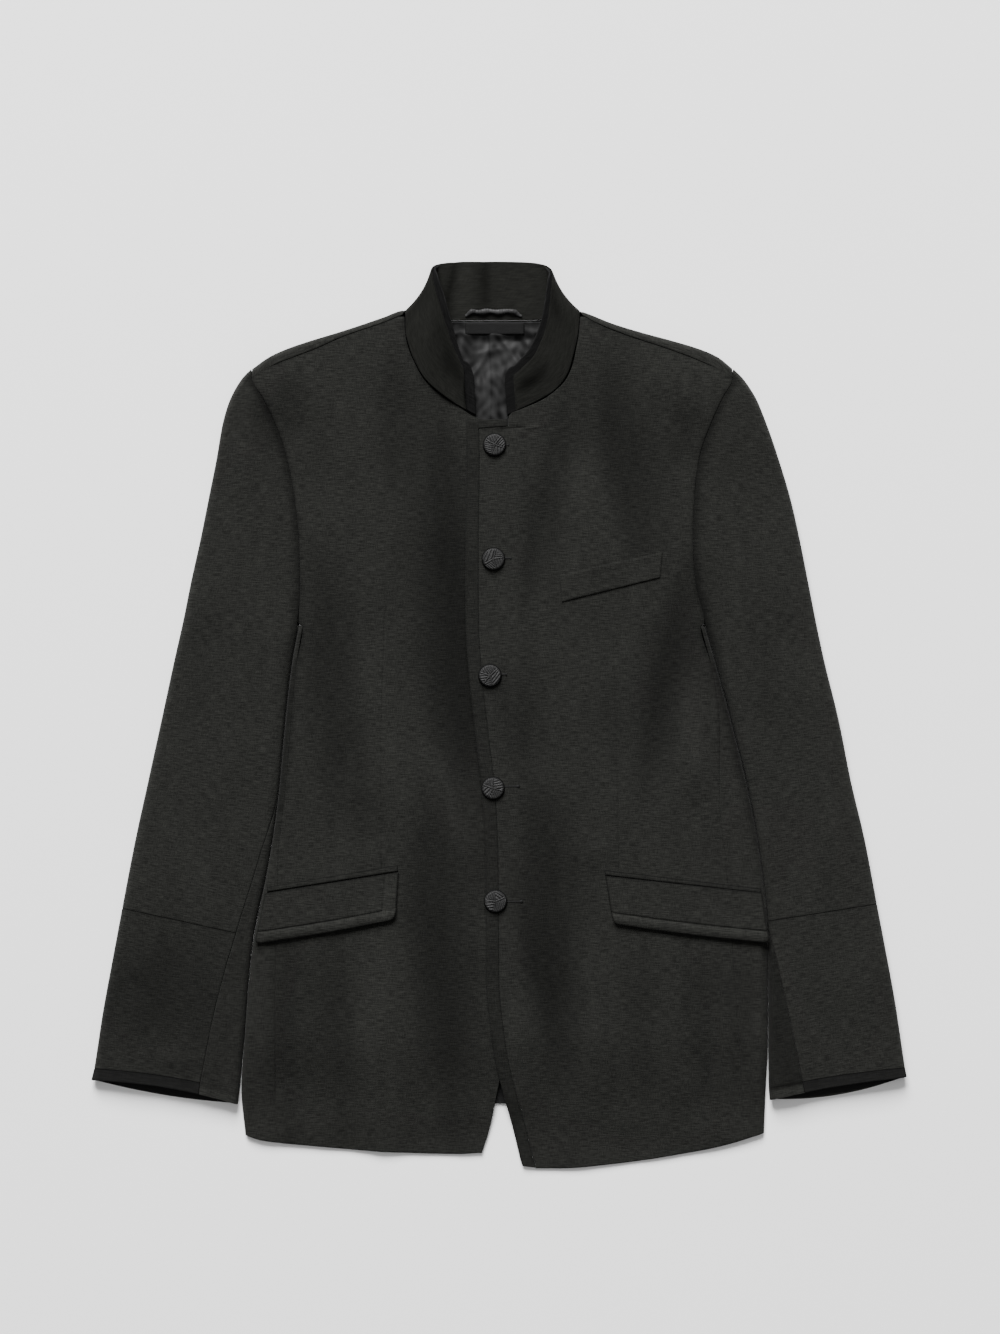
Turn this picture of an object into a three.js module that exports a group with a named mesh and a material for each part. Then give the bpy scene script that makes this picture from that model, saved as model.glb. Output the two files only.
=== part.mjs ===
// Stand collar jacket, buttoned and laid flat on its back. Millimetres, +Z up.
// +Y runs from the hem to the collar and +X to the viewer's right. The origin is under the middle of
// the outline, on the surface that the jacket lies on. "Left" and "right" are the viewer's.
import * as THREE from 'three';

// Driving sizes
const cloth = 2.2;              // fronts, back and sides, with their interlining
const sleeveCloth = 2;
const collarCloth = 1.8;
const liningCloth = 1.1;
const seamGap = 0.3;            // between two pieces along a seam, or one on another
const restHeight = 8.3;          // top of the fronts above the surface, between the folds
const lapRise = 3.1;            // how much the over front lies above the under front
const hemStart = -290;          // below this height the fronts sink to the surface
const hemSink = 4.2;
const bandWidth = 12;           // strip along the over front's edge
const buttonDiameter = 19.5;
const buttonHeight = 4;
const jacketBottom = -417;

// Folds that run down the cloth: a rise or dip that passes through three places
const folds = [
  { topX: -61, topY: 296, middleX: -41, endX: -17, endY: -69, width: 18, rise: -4.5 },
  { topX: -132, topY: 60, middleX: -111, endX: -91, endY: -115, width: 20, rise: 2.5 },
  { topX: -178, topY: 129, middleX: -168, endX: -155, endY: -60, width: 16, rise: -2.5 },
  { topX: -105, topY: 304, middleX: -100, endX: -98, endY: 216, width: 13, rise: -1.8 },
  { topX: -197, topY: 316, middleX: -194, endX: -192, endY: 271, width: 9, rise: -1.5 },
  { topX: -146, topY: -69, middleX: -130, endX: -117, endY: -124, width: 13, rise: -1.8 },
  { topX: -68, topY: -32, middleX: -45, endX: -22, endY: -147, width: 13, rise: 2.2 },
  { topX: -86, topY: -110, middleX: -58, endX: -45, endY: -373, width: 18, rise: -3.8 },
  { topX: -117, topY: -193, middleX: -113, endX: -109, endY: -414, width: 17, rise: 2.6 },
  { topX: -206, topY: -216, middleX: -197, endX: -192, endY: -400, width: 13, rise: -2.2 },
  { topX: -169, topY: -239, middleX: -160, endX: -151, endY: -354, width: 16, rise: -1.8 },
  { topX: 61, topY: 299, middleX: 42, endX: 26, endY: 129, width: 12, rise: -2.5 },
  { topX: 93, topY: 299, middleX: 110, endX: 130, endY: 143, width: 15, rise: -3.8 },
  { topX: 56, topY: 244, middleX: 67, endX: 84, endY: 83, width: 17, rise: 2.6 },
  { topX: 166, topY: 285, middleX: 166, endX: 165, endY: 225, width: 10, rise: -1.5 },
  { topX: 171, topY: 110, middleX: 148, endX: 130, endY: -32, width: 17, rise: -3.8 },
  { topX: 102, topY: 32, middleX: 102, endX: 102, endY: -69, width: 8, rise: -1 },
  { topX: 168, topY: 37, middleX: 170, endX: 172, endY: -78, width: 15, rise: 2.2 },
  { topX: 5, topY: -120, middleX: 33, endX: 52, endY: -299, width: 15, rise: -4.2 },
  { topX: 19, topY: -262, middleX: 21, endX: 25, endY: -382, width: 10, rise: 1.5 },
  { topX: 182, topY: -248, middleX: 184, endX: 185, endY: -313, width: 13, rise: -2.6 },
  { topX: 203, topY: -230, middleX: 211, endX: 215, endY: -294, width: 9, rise: -1.6 },
  { topX: -227, topY: 290, middleX: -223, endX: -218, endY: 230, width: 8, rise: -1.8 },
];

// Rounder swells and hollows: shoulder pads, the neck, the chest and a few dents
const swells = [
  { x: -205, y: 300, across: 60, along: 48, rise: 8.5 },
  { x: 200, y: 300, across: 60, along: 48, rise: 8.5 },
  { x: -88, y: 348, across: 42, along: 40, rise: 3.8 },
  { x: 76, y: 348, across: 42, along: 40, rise: 3.8 },
  { x: -110, y: 180, across: 60, along: 80, rise: 1.5 },
  { x: 110, y: 190, across: 60, along: 80, rise: 1.5 },
  { x: 27, y: -37, across: 25, along: 20, rise: -1.3 },
  { x: 82, y: -126, across: 16, along: 12, rise: 1.2 },
  { x: 162, y: -340, across: 20, along: 20, rise: 1.2 },
  { x: -340, y: -251, across: 14, along: 14, rise: -1.2 },
  { x: -301, y: -317, across: 18, along: 10, rise: 1 },
];

// Armhole lines, which are also where the sleeves and the body meet; both sides use these heights
const armholes = [
  { y: 308, left: -226, right: 213.5 },
  { y: 291, left: -216.3, right: 204.6 },
  { y: 268, left: -205.3, right: 194.3 },
  { y: 235, left: -194.2, right: 183.3 },
  { y: 198, left: -187.2, right: 179 },
  { y: 161, left: -183.2, right: 177.6 },
  { y: 120, left: -182.2, right: 180.3 },
  { y: 82, left: -184, right: 188.8 },
];

// Side folds of the body, the seams between fronts and side panels, and how far each side panel
// reaches under the body
const sides = [
  { y: 82, leftFold: -183, leftSeam: -179.8, rightSeam: 185, rightFold: 188.2, round: 2.7, under: 3 },
  { y: 43, leftFold: -190, leftSeam: -186, rightSeam: 195, rightFold: 199, round: 3.6, under: 18 },
  { y: -14, leftFold: -196, leftSeam: -191, rightSeam: 202.4, rightFold: 214.4, round: 4.5, under: 28 },
  { y: -72, leftFold: -201.5, leftSeam: -196, rightSeam: 202, rightFold: 228.4, round: 5, under: 30 },
  { y: -132, leftFold: -209.8, leftSeam: -202.4, rightSeam: 207.5, rightFold: 238.4, round: 6, under: 30 },
  { y: -180, leftFold: -219.3, leftSeam: -203.3, rightSeam: 211.6, rightFold: 242.6, round: 6, under: 30 },
  { y: -210, leftFold: -225.6, leftSeam: -204.2, rightSeam: 213.9, rightFold: 242, round: 6, under: 30 },
  { y: -245, leftFold: -228.2, leftSeam: -205.2, rightSeam: 216.2, rightFold: 242, round: 6, under: 30 },
  { y: -295, leftFold: -232.8, leftSeam: -205.2, rightSeam: 219.9, rightFold: 243.3, round: 6, under: 30 },
  { y: -345, leftFold: -235.6, leftSeam: -205.2, rightSeam: 223.1, rightFold: 244.2, round: 6, under: 30 },
  { y: -386, leftFold: -232.8, leftSeam: -205.2, rightSeam: 225.4, rightFold: 242.9, round: 5, under: 30 },
];

// Shoulder seams, from the neck to the top of the armhole
const shoulderSeams = [
  { y: 367, left: -87.2, right: 75 },
  { y: 358, left: -109.5, right: 91 },
  { y: 347.8, left: -139.8, right: 117 },
  { y: 335, left: -168.4, right: 155 },
  { y: 322, left: -201.5, right: 188 },
  { y: 308, left: -226, right: 213.5 },
];

// The outline of the shoulders, where the back rolls over to the front
const shoulderEdge = [
  { x: -226, y: 317.5 }, { x: -210.7, y: 328.4 }, { x: -195, y: 335.8 }, { x: -173.9, y: 343.2 },
  { x: -150, y: 350.5 }, { x: -127, y: 357.9 }, { x: -105.8, y: 365.2 }, { x: -86.5, y: 371.5 },
  { x: -79, y: 370.2 }, { x: -70, y: 368 }, { x: -55, y: 368 }, { x: -40, y: 368.5 },
  { x: 40, y: 368.5 }, { x: 50, y: 368 }, { x: 60, y: 368 }, { x: 68, y: 369.2 },
  { x: 74.5, y: 370.5 }, { x: 78.2, y: 369.5 }, { x: 104, y: 359.5 }, { x: 133.4, y: 350.5 },
  { x: 160, y: 343.2 }, { x: 184, y: 335.8 }, { x: 200.6, y: 328.4 }, { x: 213.5, y: 318 },
];

// Columns of the back across its shoulders: how far each rolls over the edge, in degrees
const backColumns = [
  { x: -226, roll: 180 }, { x: -201.5, roll: 180 }, { x: -168.4, roll: 180 }, { x: -139.8, roll: 180 },
  { x: -109.5, roll: 180 }, { x: -88.5, roll: 180 }, { x: -86.7, roll: 100 }, { x: -79, roll: 70 },
  { x: -67, roll: 40 }, { x: -45, roll: 0 }, { x: -6, roll: 0 }, { x: 34, roll: 0 }, { x: 56, roll: 40 },
  { x: 67, roll: 70 }, { x: 74.7, roll: 100 }, { x: 76.5, roll: 180 }, { x: 91, roll: 180 },
  { x: 117, roll: 180 }, { x: 155, roll: 180 }, { x: 188, roll: 180 }, { x: 213.5, roll: 180 },
];
const shoulderRound = 6;
const neckRound = 4;            // less where the shoulder seam comes close to the edge
const backNeckline = 362.3;

// Necklines of the two fronts; the under front's runs on below the over front
const underNeckline = [
  { y: 367, x: -86.8 }, { y: 347.8, x: -85.6 }, { y: 335, x: -82.5 }, { y: 322, x: -77 },
  { y: 308, x: -69 }, { y: 291, x: -50 }, { y: 281, x: -34.5 }, { y: 272.3, x: -20.2 }, { y: 265, x: 12.5 },
];
const overNeckline = [
  { y: 367, x: 74.6 }, { y: 347.8, x: 72.9 }, { y: 335, x: 70.5 }, { y: 322, x: 67.7 }, { y: 308, x: 61.5 },
  { y: 291, x: 43 }, { y: 281, x: 22 }, { y: 275, x: 9 }, { y: 264.4, x: 8 }, { y: 262.2, x: -18.2 },
];

// Front edges down to the hem: the under front's, and the inner line of the over front's band
const underEdge = [
  { y: 265, x: 12.5 }, { y: -245, x: 11 }, { y: -295, x: 8.6 }, { y: -320, x: 4 },
  { y: -345, x: -1.5 }, { y: -380, x: -8.6 }, { y: -403, x: -16 },
];
const bandLine = [
  { y: 262.2, x: -18.2 }, { y: 235, x: -17.8 }, { y: 161, x: -18.7 }, { y: 120, x: -18.8 },
  { y: 82, x: -18.5 }, { y: 43, x: -16 }, { y: -14, x: -10 }, { y: -72, x: -3.4 },
  { y: -132, x: -0.6 }, { y: -210, x: -0.1 }, { y: -245, x: 0.2 }, { y: -295, x: 5.2 },
  { y: -320, x: 9.3 }, { y: -345, x: 15.3 }, { y: -380, x: 24.8 }, { y: -416, x: 33.5 },
];
const bandTab = { right: 8, top: 271.2, bottom: 264.6, corner: -30.4 };

// Hems, as the height of the cloth's lower edge along X
const hem = [
  { x: -236, y: -385 }, { x: -217, y: -391 }, { x: -167, y: -396.5 }, { x: -94, y: -402 },
  { x: -38, y: -403.5 }, { x: -16, y: -402.5 }, { x: 23, y: -415.5 }, { x: 28, y: jacketBottom + 0.3 },
  { x: 54, y: jacketBottom + 0.3 }, { x: 111, y: -412 }, { x: 176, y: -402 }, { x: 205, y: -396 },
  { x: 244, y: -384 },
];
const backHemMiddle = -357;
const backHemRise = -24;        // the back's hem is this much lower at its sides
const backHalfWidth = 205;
const bodyReach = { left: -237, right: 245.8 };   // below the flaps the sleeves lie outside these
const backSeamGap = 0.6;        // its curved side seams need a little more room

// Sleeves, one row for each section from the shoulder to the cuff, across from the outer fold to
// the inner one. front is how far the front seam lies from the inner fold, on top.
const leftSleeve = [
  { outX: -234.6, outY: 310, inX: -226, inY: 308, front: 0 },
  { outX: -246.5, outY: 290, inX: -216.3, inY: 291, front: 0 },
  { outX: -253.5, outY: 268, inX: -205.3, inY: 268, front: 0 },
  { outX: -259.4, outY: 235, inX: -194.2, inY: 235, front: 0 },
  { outX: -266.8, outY: 198, inX: -187.2, inY: 198, front: 0 },
  { outX: -274.2, outY: 161, inX: -183.2, inY: 161, front: 0 },
  { outX: -282.4, outY: 124, inX: -182.2, inY: 120, front: 0 },
  { outX: -289.8, outY: 87, inX: -184, inY: 82, front: 3 },
  { outX: -298.1, outY: 50, inX: -190.9, inY: 43, front: 5 },
  { outX: -310, outY: -5, inX: -197.2, inY: -14, front: 6 },
  { outX: -322, outY: -60, inX: -202.5, inY: -72, front: 6 },
  { outX: -334, outY: -115, inX: -211, inY: -132, front: 9 },
  { outX: -345.9, outY: -177, inX: -225.4, inY: -203, front: 16 },
  { outX: -354.2, outY: -221, inX: -229.5, inY: -239, front: 22.5 },
  { outX: -363.4, outY: -271, inX: -233.3, inY: -290, front: 31 },
  { outX: -371.7, outY: -324, inX: -238.3, inY: -346, front: 36 },
  { outX: -374.4, outY: -335, inX: -239.7, inY: -357, front: 36 },
];
const rightSleeve = [
  { outX: 222.6, outY: 310, inX: 213.5, inY: 308, front: 0 },
  { outX: 235.5, outY: 291, inX: 204.6, inY: 291, front: 0 },
  { outX: 245.2, outY: 268, inX: 194.3, inY: 268, front: 0 },
  { outX: 256.7, outY: 235, inX: 183.3, inY: 235, front: 0 },
  { outX: 267.7, outY: 198, inX: 179, inY: 198, front: 0 },
  { outX: 276, outY: 161, inX: 177.6, inY: 161, front: 0 },
  { outX: 283.4, outY: 124, inX: 180.3, inY: 120, front: 0 },
  { outX: 290.7, outY: 87, inX: 188.8, inY: 82, front: 3 },
  { outX: 298.5, outY: 50, inX: 200.2, inY: 43, front: 5 },
  { outX: 311.9, outY: -5, inX: 215.4, inY: -14, front: 6 },
  { outX: 322.9, outY: -60, inX: 229.4, inY: -72, front: 6 },
  { outX: 335.8, outY: -115, inX: 239.6, inY: -132, front: 6 },
  { outX: 346.8, outY: -173, inX: 245.8, inY: -189, front: 6 },
  { outX: 354.2, outY: -212, inX: 246.8, inY: -228, front: 8.5 },
  { outX: 363.4, outY: -262, inX: 247.2, inY: -286, front: 20.5 },
  { outX: 372.6, outY: -323, inX: 247.6, inY: -342, front: 31 },
  { outX: 374.4, outY: -332, inX: 248.4, inY: -353, front: 32 },
];
const underarm = 7;             // the row of the sleeve tables at the underarm
const crossSeam = 12;
const cuffEdge = 15;
const outerRound = 7;           // how far the outer fold's rounding reaches in
const innerRound = 5.5;
const elbowSeam = 15;           // the under sleeve's other seam, below, from the outer fold

// Collar, one row for each place along its neckline, from the left front end round the back to the
// right one: its foot, its top edge, and how far the inner collar stands past that edge
const collarRows = [
  { footX: -30.2, footY: 279.5, footZ: 11.5, topX: -32.2, topY: 316.5, topZ: 15.5, proud: 9, waist: 0 },
  { footX: -36.6, footY: 283, footZ: 11.5, topX: -35.9, topY: 324.8, topZ: 16.5, proud: 9, waist: 0 },
  { footX: -53.9, footY: 294.9, footZ: 12, topX: -42.3, topY: 338.6, topZ: 18.5, proud: 9, waist: 1 },
  { footX: -68.5, footY: 308.5, footZ: 12.5, topX: -47.8, topY: 355.1, topZ: 20.5, proud: 8.5, waist: 2 },
  { footX: -81.4, footY: 333.2, footZ: 13, topX: -54.3, topY: 375.4, topZ: 22.5, proud: 8, waist: 3 },
  { footX: -85.9, footY: 351.6, footZ: 13.5, topX: -59.8, topY: 393.8, topZ: 22.5, proud: 7, waist: 4 },
  { footX: -86.2, footY: 366.5, footZ: 13.4, topX: -62.5, topY: 406, topZ: 18, proud: 4, waist: 5 },
  { footX: -85.9, footY: 371.6, footZ: 7.4, topX: -60.5, topY: 412.2, topZ: 9.5, proud: 1, waist: 5 },
  { footX: -78.6, footY: 369.4, footZ: 3.6, topX: -55, topY: 414.8, topZ: 2.8, proud: 0, waist: 3 },
  { footX: -62, footY: 365.2, footZ: 0.9, topX: -45, topY: 416, topZ: 0.5, proud: 0, waist: 1 },
  { footX: -38, footY: 362.9, footZ: 0.05, topX: -32, topY: 416.6, topZ: 0, proud: 0, waist: 0 },
  { footX: -5, footY: 362.9, footZ: 0, topX: -6, topY: 416.8, topZ: 0, proud: 0, waist: 0 },
  { footX: 27, footY: 362.9, footZ: 0.05, topX: 20, topY: 416.4, topZ: 0, proud: 0, waist: 0 },
  { footX: 52, footY: 365.2, footZ: 0.9, topX: 34, topY: 415.4, topZ: 0.5, proud: 0, waist: -1 },
  { footX: 67.6, footY: 369.4, footZ: 3.6, topX: 43.5, topY: 413.4, topZ: 2.8, proud: 0, waist: -3 },
  { footX: 74.1, footY: 371.2, footZ: 7.4, topX: 48.3, topY: 409, topZ: 9.5, proud: 1, waist: -5 },
  { footX: 74.2, footY: 366.5, footZ: 13.4, topX: 50, topY: 401.5, topZ: 18, proud: 4, waist: -5 },
  { footX: 73, footY: 350.5, footZ: 13.5, topX: 48.3, topY: 389.2, topZ: 22.5, proud: 6.5, waist: -4 },
  { footX: 69.4, footY: 333.5, footZ: 13, topX: 46, topY: 368, topZ: 22.5, proud: 7.5, waist: -3 },
  { footX: 63, footY: 312.4, footZ: 12.5, topX: 40.5, topY: 346.8, topZ: 20.5, proud: 8, waist: -2 },
  { footX: 50.2, footY: 296.7, footZ: 12, topX: 32.2, topY: 329.4, topZ: 18.5, proud: 8, waist: -1 },
  { footX: 28.5, footY: 284.5, footZ: 11.5, topX: 21.2, topY: 318, topZ: 16.5, proud: 8, waist: 0 },
  { footX: 16.8, footY: 278.9, footZ: 11.5, topX: 14.2, topY: 312.2, topZ: 15.5, proud: 8, waist: 0 },
];
const facingReach = 10;         // the inner collar's ends stand this far past the outer collar's

const lining = { left: -58, right: 48, top: 361.6, bottom: 266 };
const label = { left: -31, right: 23, top: 360.5, bottom: 349.5 };
const loop = { left: -31, right: 21, foot: 366.6, top: 371, width: 3, depth: 1.1 };

// Pocket flaps, jets and the breast welt, each by the corners of the piece as it lies
const leftFlap = {
  topLeft: [-214.5, -163.2], topRight: [-92, -143.8],
  bottomLeft: [-223.5, -209.5], bottomRight: [-94.8, -186.8],
};
const rightFlap = {
  topLeft: [97.5, -147.2], topRight: [240.5, -162.8],
  bottomLeft: [104.5, -191], bottomRight: [247.2, -208.5],
};
const leftJet = {
  topLeft: [-212.5, -157.3], topRight: [-93, -137.4],
  bottomLeft: [-212.5, -162], bottomRight: [-92.4, -143.2],
};
const rightJet = {
  topLeft: [95.5, -142.2], topRight: [240, -160],
  bottomLeft: [97.2, -146.6], bottomRight: [240, -162.2],
};
const breastWelt = {
  topLeft: [55, 128.4], topRight: [150, 150],
  bottomLeft: [57.5, 103.5], bottomRight: [147.7, 126],
};
const flapReach = { left: -208, right: 231 };   // past these the flaps lie over the side folds
const flapCloth = 2;
const jetCloth = 1.2;
const weltCloth = 1.3;

const buttonPlaces = [
  { x: -4.1, y: 247.5 }, { x: -5.1, y: 143 }, { x: -8.3, y: 36.3 }, { x: -5.5, y: -66.7 },
  { x: -3.2, y: -170.2 },
];

const wool = { color: 0x2b2c2a, roughness: 0.92, metalness: 0 };
const dark = { color: 0x171717, roughness: 0.7, metalness: 0 };
const satin = { color: 0x3c3c3c, roughness: 0.4, metalness: 0 };
const thread = { color: 0x40403e, roughness: 0.6, metalness: 0 };

const clamp = THREE.MathUtils.clamp;
const lerp = THREE.MathUtils.lerp;
const ease = (value) => THREE.MathUtils.smoothstep(value, 0, 1);

// A column of a table at a place along another column, straight between its rows
function along(rows, key, at, column) {
  const rising = rows[rows.length - 1][key] > rows[0][key];
  const sorted = rising ? rows : [...rows].reverse();
  if (at <= sorted[0][key]) return sorted[0][column];
  for (let i = 1; i < sorted.length; i++) {
    const [low, high] = [sorted[i - 1], sorted[i]];
    if (at <= high[key]) return lerp(low[column], high[column], (at - low[key]) / (high[key] - low[key]));
  }
  return sorted[sorted.length - 1][column];
}

const backHem = (x) => backHemMiddle + backHemRise * (x / backHalfWidth) ** 2;

function foldRise(fold, x, y) {
  const down = (fold.topY - y) / (fold.topY - fold.endY);
  if (down <= 0 || down >= 1) return 0;
  const bow = fold.middleX - (fold.topX + fold.endX) / 2;
  const centre = lerp(fold.topX, fold.endX, down) + bow * 4 * down * (1 - down);
  const fade = ease(down / 0.25) * ease((1 - down) / 0.25);
  return fold.rise * fade * Math.exp(-(((x - centre) / fold.width) ** 2));
}

function swellRise(swell, x, y) {
  return swell.rise * Math.exp(-(((x - swell.x) / swell.across) ** 2) - ((y - swell.y) / swell.along) ** 2);
}

// Top of the uppermost single layer over the surface, at any place of the laid jacket
function lay(x, y) {
  const raised = folds.reduce((sum, fold) => sum + foldRise(fold, x, y), 0)
    + swells.reduce((sum, swell) => sum + swellRise(swell, x, y), 0);
  const nearBody = x > bodyReach.left && x < bodyReach.right ? 1 : 0;
  const sink = nearBody * hemSink * ease((hemStart - y) / 90);
  const pastBack = nearBody * ease((backHem(x) - 1 - y) / 34);
  const lowest = lerp(2 * cloth + 3 * seamGap, cloth + 0.4, pastBack);
  return Math.max(restHeight + raised - sink - 1.9 * pastBack, lowest);
}

// How much the over front is lifted where the under front lies below it
function lap(x, y) {
  const across = 1 - ease((x - 15) / 20);
  const down = ease((y + 372) / 26);
  return lapRise * across * down;
}

// A closed wall from a grid of points on the cloth's one side and a grid on its other side
function wall(face, other) {
  const rows = face.length;
  const columns = face[0].length;
  const points = [...face.flat(), ...other.flat()];
  const half = rows * columns;
  const at = (i, j) => i * columns + j;
  const triangles = [];
  const quad = (a, b, c, d) => triangles.push(a, b, c, a, c, d);
  for (let i = 0; i < rows - 1; i++) {
    for (let j = 0; j < columns - 1; j++) {
      quad(at(i, j), at(i + 1, j), at(i + 1, j + 1), at(i, j + 1));
      quad(half + at(i, j), half + at(i, j + 1), half + at(i + 1, j + 1), half + at(i + 1, j));
    }
    const [end, nextEnd] = [at(i, columns - 1), at(i + 1, columns - 1)];
    quad(at(i, 0), half + at(i, 0), half + at(i + 1, 0), at(i + 1, 0));
    quad(end, nextEnd, half + nextEnd, half + end);
  }
  for (let j = 0; j < columns - 1; j++) {
    quad(at(0, j), at(0, j + 1), half + at(0, j + 1), half + at(0, j));
    quad(at(rows - 1, j), half + at(rows - 1, j), half + at(rows - 1, j + 1), at(rows - 1, j + 1));
  }
  if (volume(points, triangles) < 0) triangles.reverse();
  const geometry = new THREE.BufferGeometry();
  geometry.setAttribute('position', new THREE.Float32BufferAttribute(points.flatMap((p) => p.toArray()), 3));
  geometry.setIndex(triangles);
  geometry.computeVertexNormals();
  return geometry;
}

function volume(points, triangles) {
  let sum = 0;
  for (let i = 0; i < triangles.length; i += 3) {
    const [a, b, c] = triangles.slice(i, i + 3).map((index) => points[index]);
    sum += a.dot(new THREE.Vector3().crossVectors(b, c));
  }
  return sum / 6;
}

const jacket = new THREE.Group();

function add(name, geometry, look) {
  const mesh = new THREE.Mesh(geometry, new THREE.MeshStandardMaterial(look));
  mesh.name = name;
  mesh.material.side = THREE.DoubleSide;
  mesh.updateMatrixWorld();
  jacket.add(mesh);
  return mesh;
}

// Heights at which a panel has a row of points: every break of its edges, and steps between them
function levels(breaks, longestStep) {
  const sorted = [...new Set(breaks)].sort((a, b) => b - a);
  const kept = sorted.filter((y, i) => i === 0 || sorted[i - 1] - y > 0.5);
  const result = [kept[0]];
  for (let i = 1; i < kept.length; i++) {
    const steps = Math.ceil((kept[i - 1] - kept[i]) / longestStep);
    for (let k = 1; k <= steps; k++) result.push(lerp(kept[i - 1], kept[i], k / steps));
  }
  return result;
}

// Near the hem the rows bend until the last one follows the hem's curve
function towardsHem(x, y, lowest, hemAt) {
  const bend = ease((lowest + 110 - y) / 110);
  return y + (hemAt(x) - lowest) * bend;
}

const hemAt = (x) => along(hem, 'x', x, 'y');

// A flat-lying panel between a left and a right edge, its top face at a height over each place
function panel(rows, left, right, steps, lowest, heightAt) {
  const top = rows.map((y) => {
    return Array.from({ length: steps + 1 }, (_, j) => {
      const across = (at) => lerp(left(at) + seamGap / 2, right(at) - seamGap / 2, j / steps);
      const place = towardsHem(across(y), y, lowest, hemAt);
      const x = across(place);
      return new THREE.Vector3(x, place, heightAt(x, place));
    });
  });
  const under = top.map((row) => row.map((p) => new THREE.Vector3(p.x, p.y, p.z - cloth)));
  return wall(top, under);
}

const yOf = (row) => row.y;

function underFront() {
  const left = (y) => {
    if (y > 308) return along(shoulderSeams, 'y', y, 'left');
    if (y > 120) return along(armholes, 'y', y, 'left');
    if (y > 82) return lerp(-179.8, -182.2, (y - 82) / 38);
    return along(sides, 'y', y, 'leftSeam');
  };
  const right = (y) => (y > 265 ? along(underNeckline, 'y', y, 'x') : along(underEdge, 'y', y, 'x'));
  const breaks = [...shoulderSeams, ...armholes, ...sides, ...underNeckline]
    .map(yOf).filter((y) => y < 366 && y > -380);
  const rows = levels([365, ...breaks, ...underEdge.map(yOf)], 45);
  return panel(rows, left, right, 13, -403, lay);
}

function overFront() {
  const left = (y) => {
    if (y > 262.2) return along(overNeckline, 'y', y, 'x');
    return along(bandLine, 'y', y, 'x');
  };
  const right = (y) => {
    if (y > 308) return along(shoulderSeams, 'y', y, 'right');
    if (y > 120) return along(armholes, 'y', y, 'right');
    if (y > 82) return lerp(185, 180.3, (y - 82) / 38);
    return along(sides, 'y', y, 'rightSeam');
  };
  const breaks = [...shoulderSeams, ...armholes, ...sides, ...overNeckline]
    .map(yOf).filter((y) => y < 366 && y > -380);
  const rows = levels([365, ...breaks, ...bandLine.map(yOf)], 45);
  return panel(rows, left, right, 13, -416, (x, y) => lay(x, y) + lap(x, y));
}

// The band: from the tab's end along the neck to the corner, then down the front edge
function frontBand() {
  const outer = [
    [bandTab.right, bandTab.top], [-10, bandTab.top + 0.2], [bandTab.corner, bandTab.top - 0.6],
  ];
  const inner = [[bandTab.right, bandTab.bottom], [-8, bandTab.bottom], [-18.5, 262.6]];
  for (const row of levels(bandLine.map(yOf).filter((y) => y < 250), 40)) {
    const line = along(bandLine, 'y', row, 'x') - seamGap;
    outer.push([line - bandWidth, row + (row < -400 ? 1.5 : 0)]);
    inner.push([line, row]);
  }
  const top = outer.map(([outX, outY], i) => [0, 0.3, 0.7, 1].map((share) => {
    const x = lerp(outX, inner[i][0], share);
    const y = lerp(outY, inner[i][1], share);
    const rolled = share === 0 ? 0.6 : 0;
    return new THREE.Vector3(x, y, lay(x, y) + lap(x, y) - rolled);
  }));
  const under = top.map((row, i) => row.map((p, j) => {
    const depth = j === 0 ? cloth - 0.6 : cloth;
    return new THREE.Vector3(p.x, p.y, p.z - depth);
  }));
  return wall(top, under);
}

const arcSteps = 6;             // round a fold

// Outer and inner points of cloth that goes round a fold. Distances run inwards from the fold's
// outermost line: from topReach on top, round the fold, to bottomReach below.
function foldSection({ place, heightAt, round, topReach, bottomReach, thickness, topSteps, bottomSteps }) {
  const height = heightAt(round);
  const outer = [];
  const inner = [];
  for (let k = 0; k < topSteps; k++) {
    const inwards = lerp(topReach, round, k / topSteps);
    outer.push(place(inwards, heightAt(inwards)));
    inner.push(place(inwards, heightAt(inwards) - thickness));
  }
  for (let k = 0; k <= arcSteps; k++) {
    const angle = (k / arcSteps) * Math.PI;
    const [across, up] = [Math.sin(angle), Math.cos(angle)];
    outer.push(place(round - round * across, height / 2 * (1 + up)));
    const [wide, tall] = [Math.max(round - thickness, 0.2), Math.max(height / 2 - thickness, 0.2)];
    inner.push(place(round - wide * across, height / 2 + tall * up));
  }
  for (let k = 1; k <= bottomSteps; k++) {
    const inwards = lerp(round, bottomReach, k / bottomSteps);
    outer.push(place(inwards, 0));
    inner.push(place(inwards, thickness));
  }
  return { outer, inner };
}

function sidePanel(edge, seam, inwards) {
  const rows = levels(sides.map(yOf), 45);
  const sections = rows.map((y) => {
    const fold = along(sides, 'y', y, edge);
    const reach = Math.abs(along(sides, 'y', y, seam) - fold) - seamGap / 2;
    const lowest = Math.min(...sides.map(yOf));
    const place = (distance, z) => {
      const at = towardsHem(fold + inwards * distance, y, lowest, hemAt);
      return new THREE.Vector3(along(sides, 'y', at, edge) + inwards * distance, at, z);
    };
    const heightAt = (distance) => {
      const spot = place(distance, 0);
      return Math.max(lay(spot.x, spot.y), 2 * cloth + 1);
    };
    const round = Math.min(along(sides, 'y', y, 'round'), reach - 0.3);
    const bottomReach = Math.max(along(sides, 'y', y, 'under'), round + 0.2);
    return foldSection({
      place, heightAt, round, topReach: reach, bottomReach, thickness: cloth, topSteps: 2, bottomSteps: 1,
    });
  });
  return wall(sections.map((s) => s.outer), sections.map((s) => s.inner));
}

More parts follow.
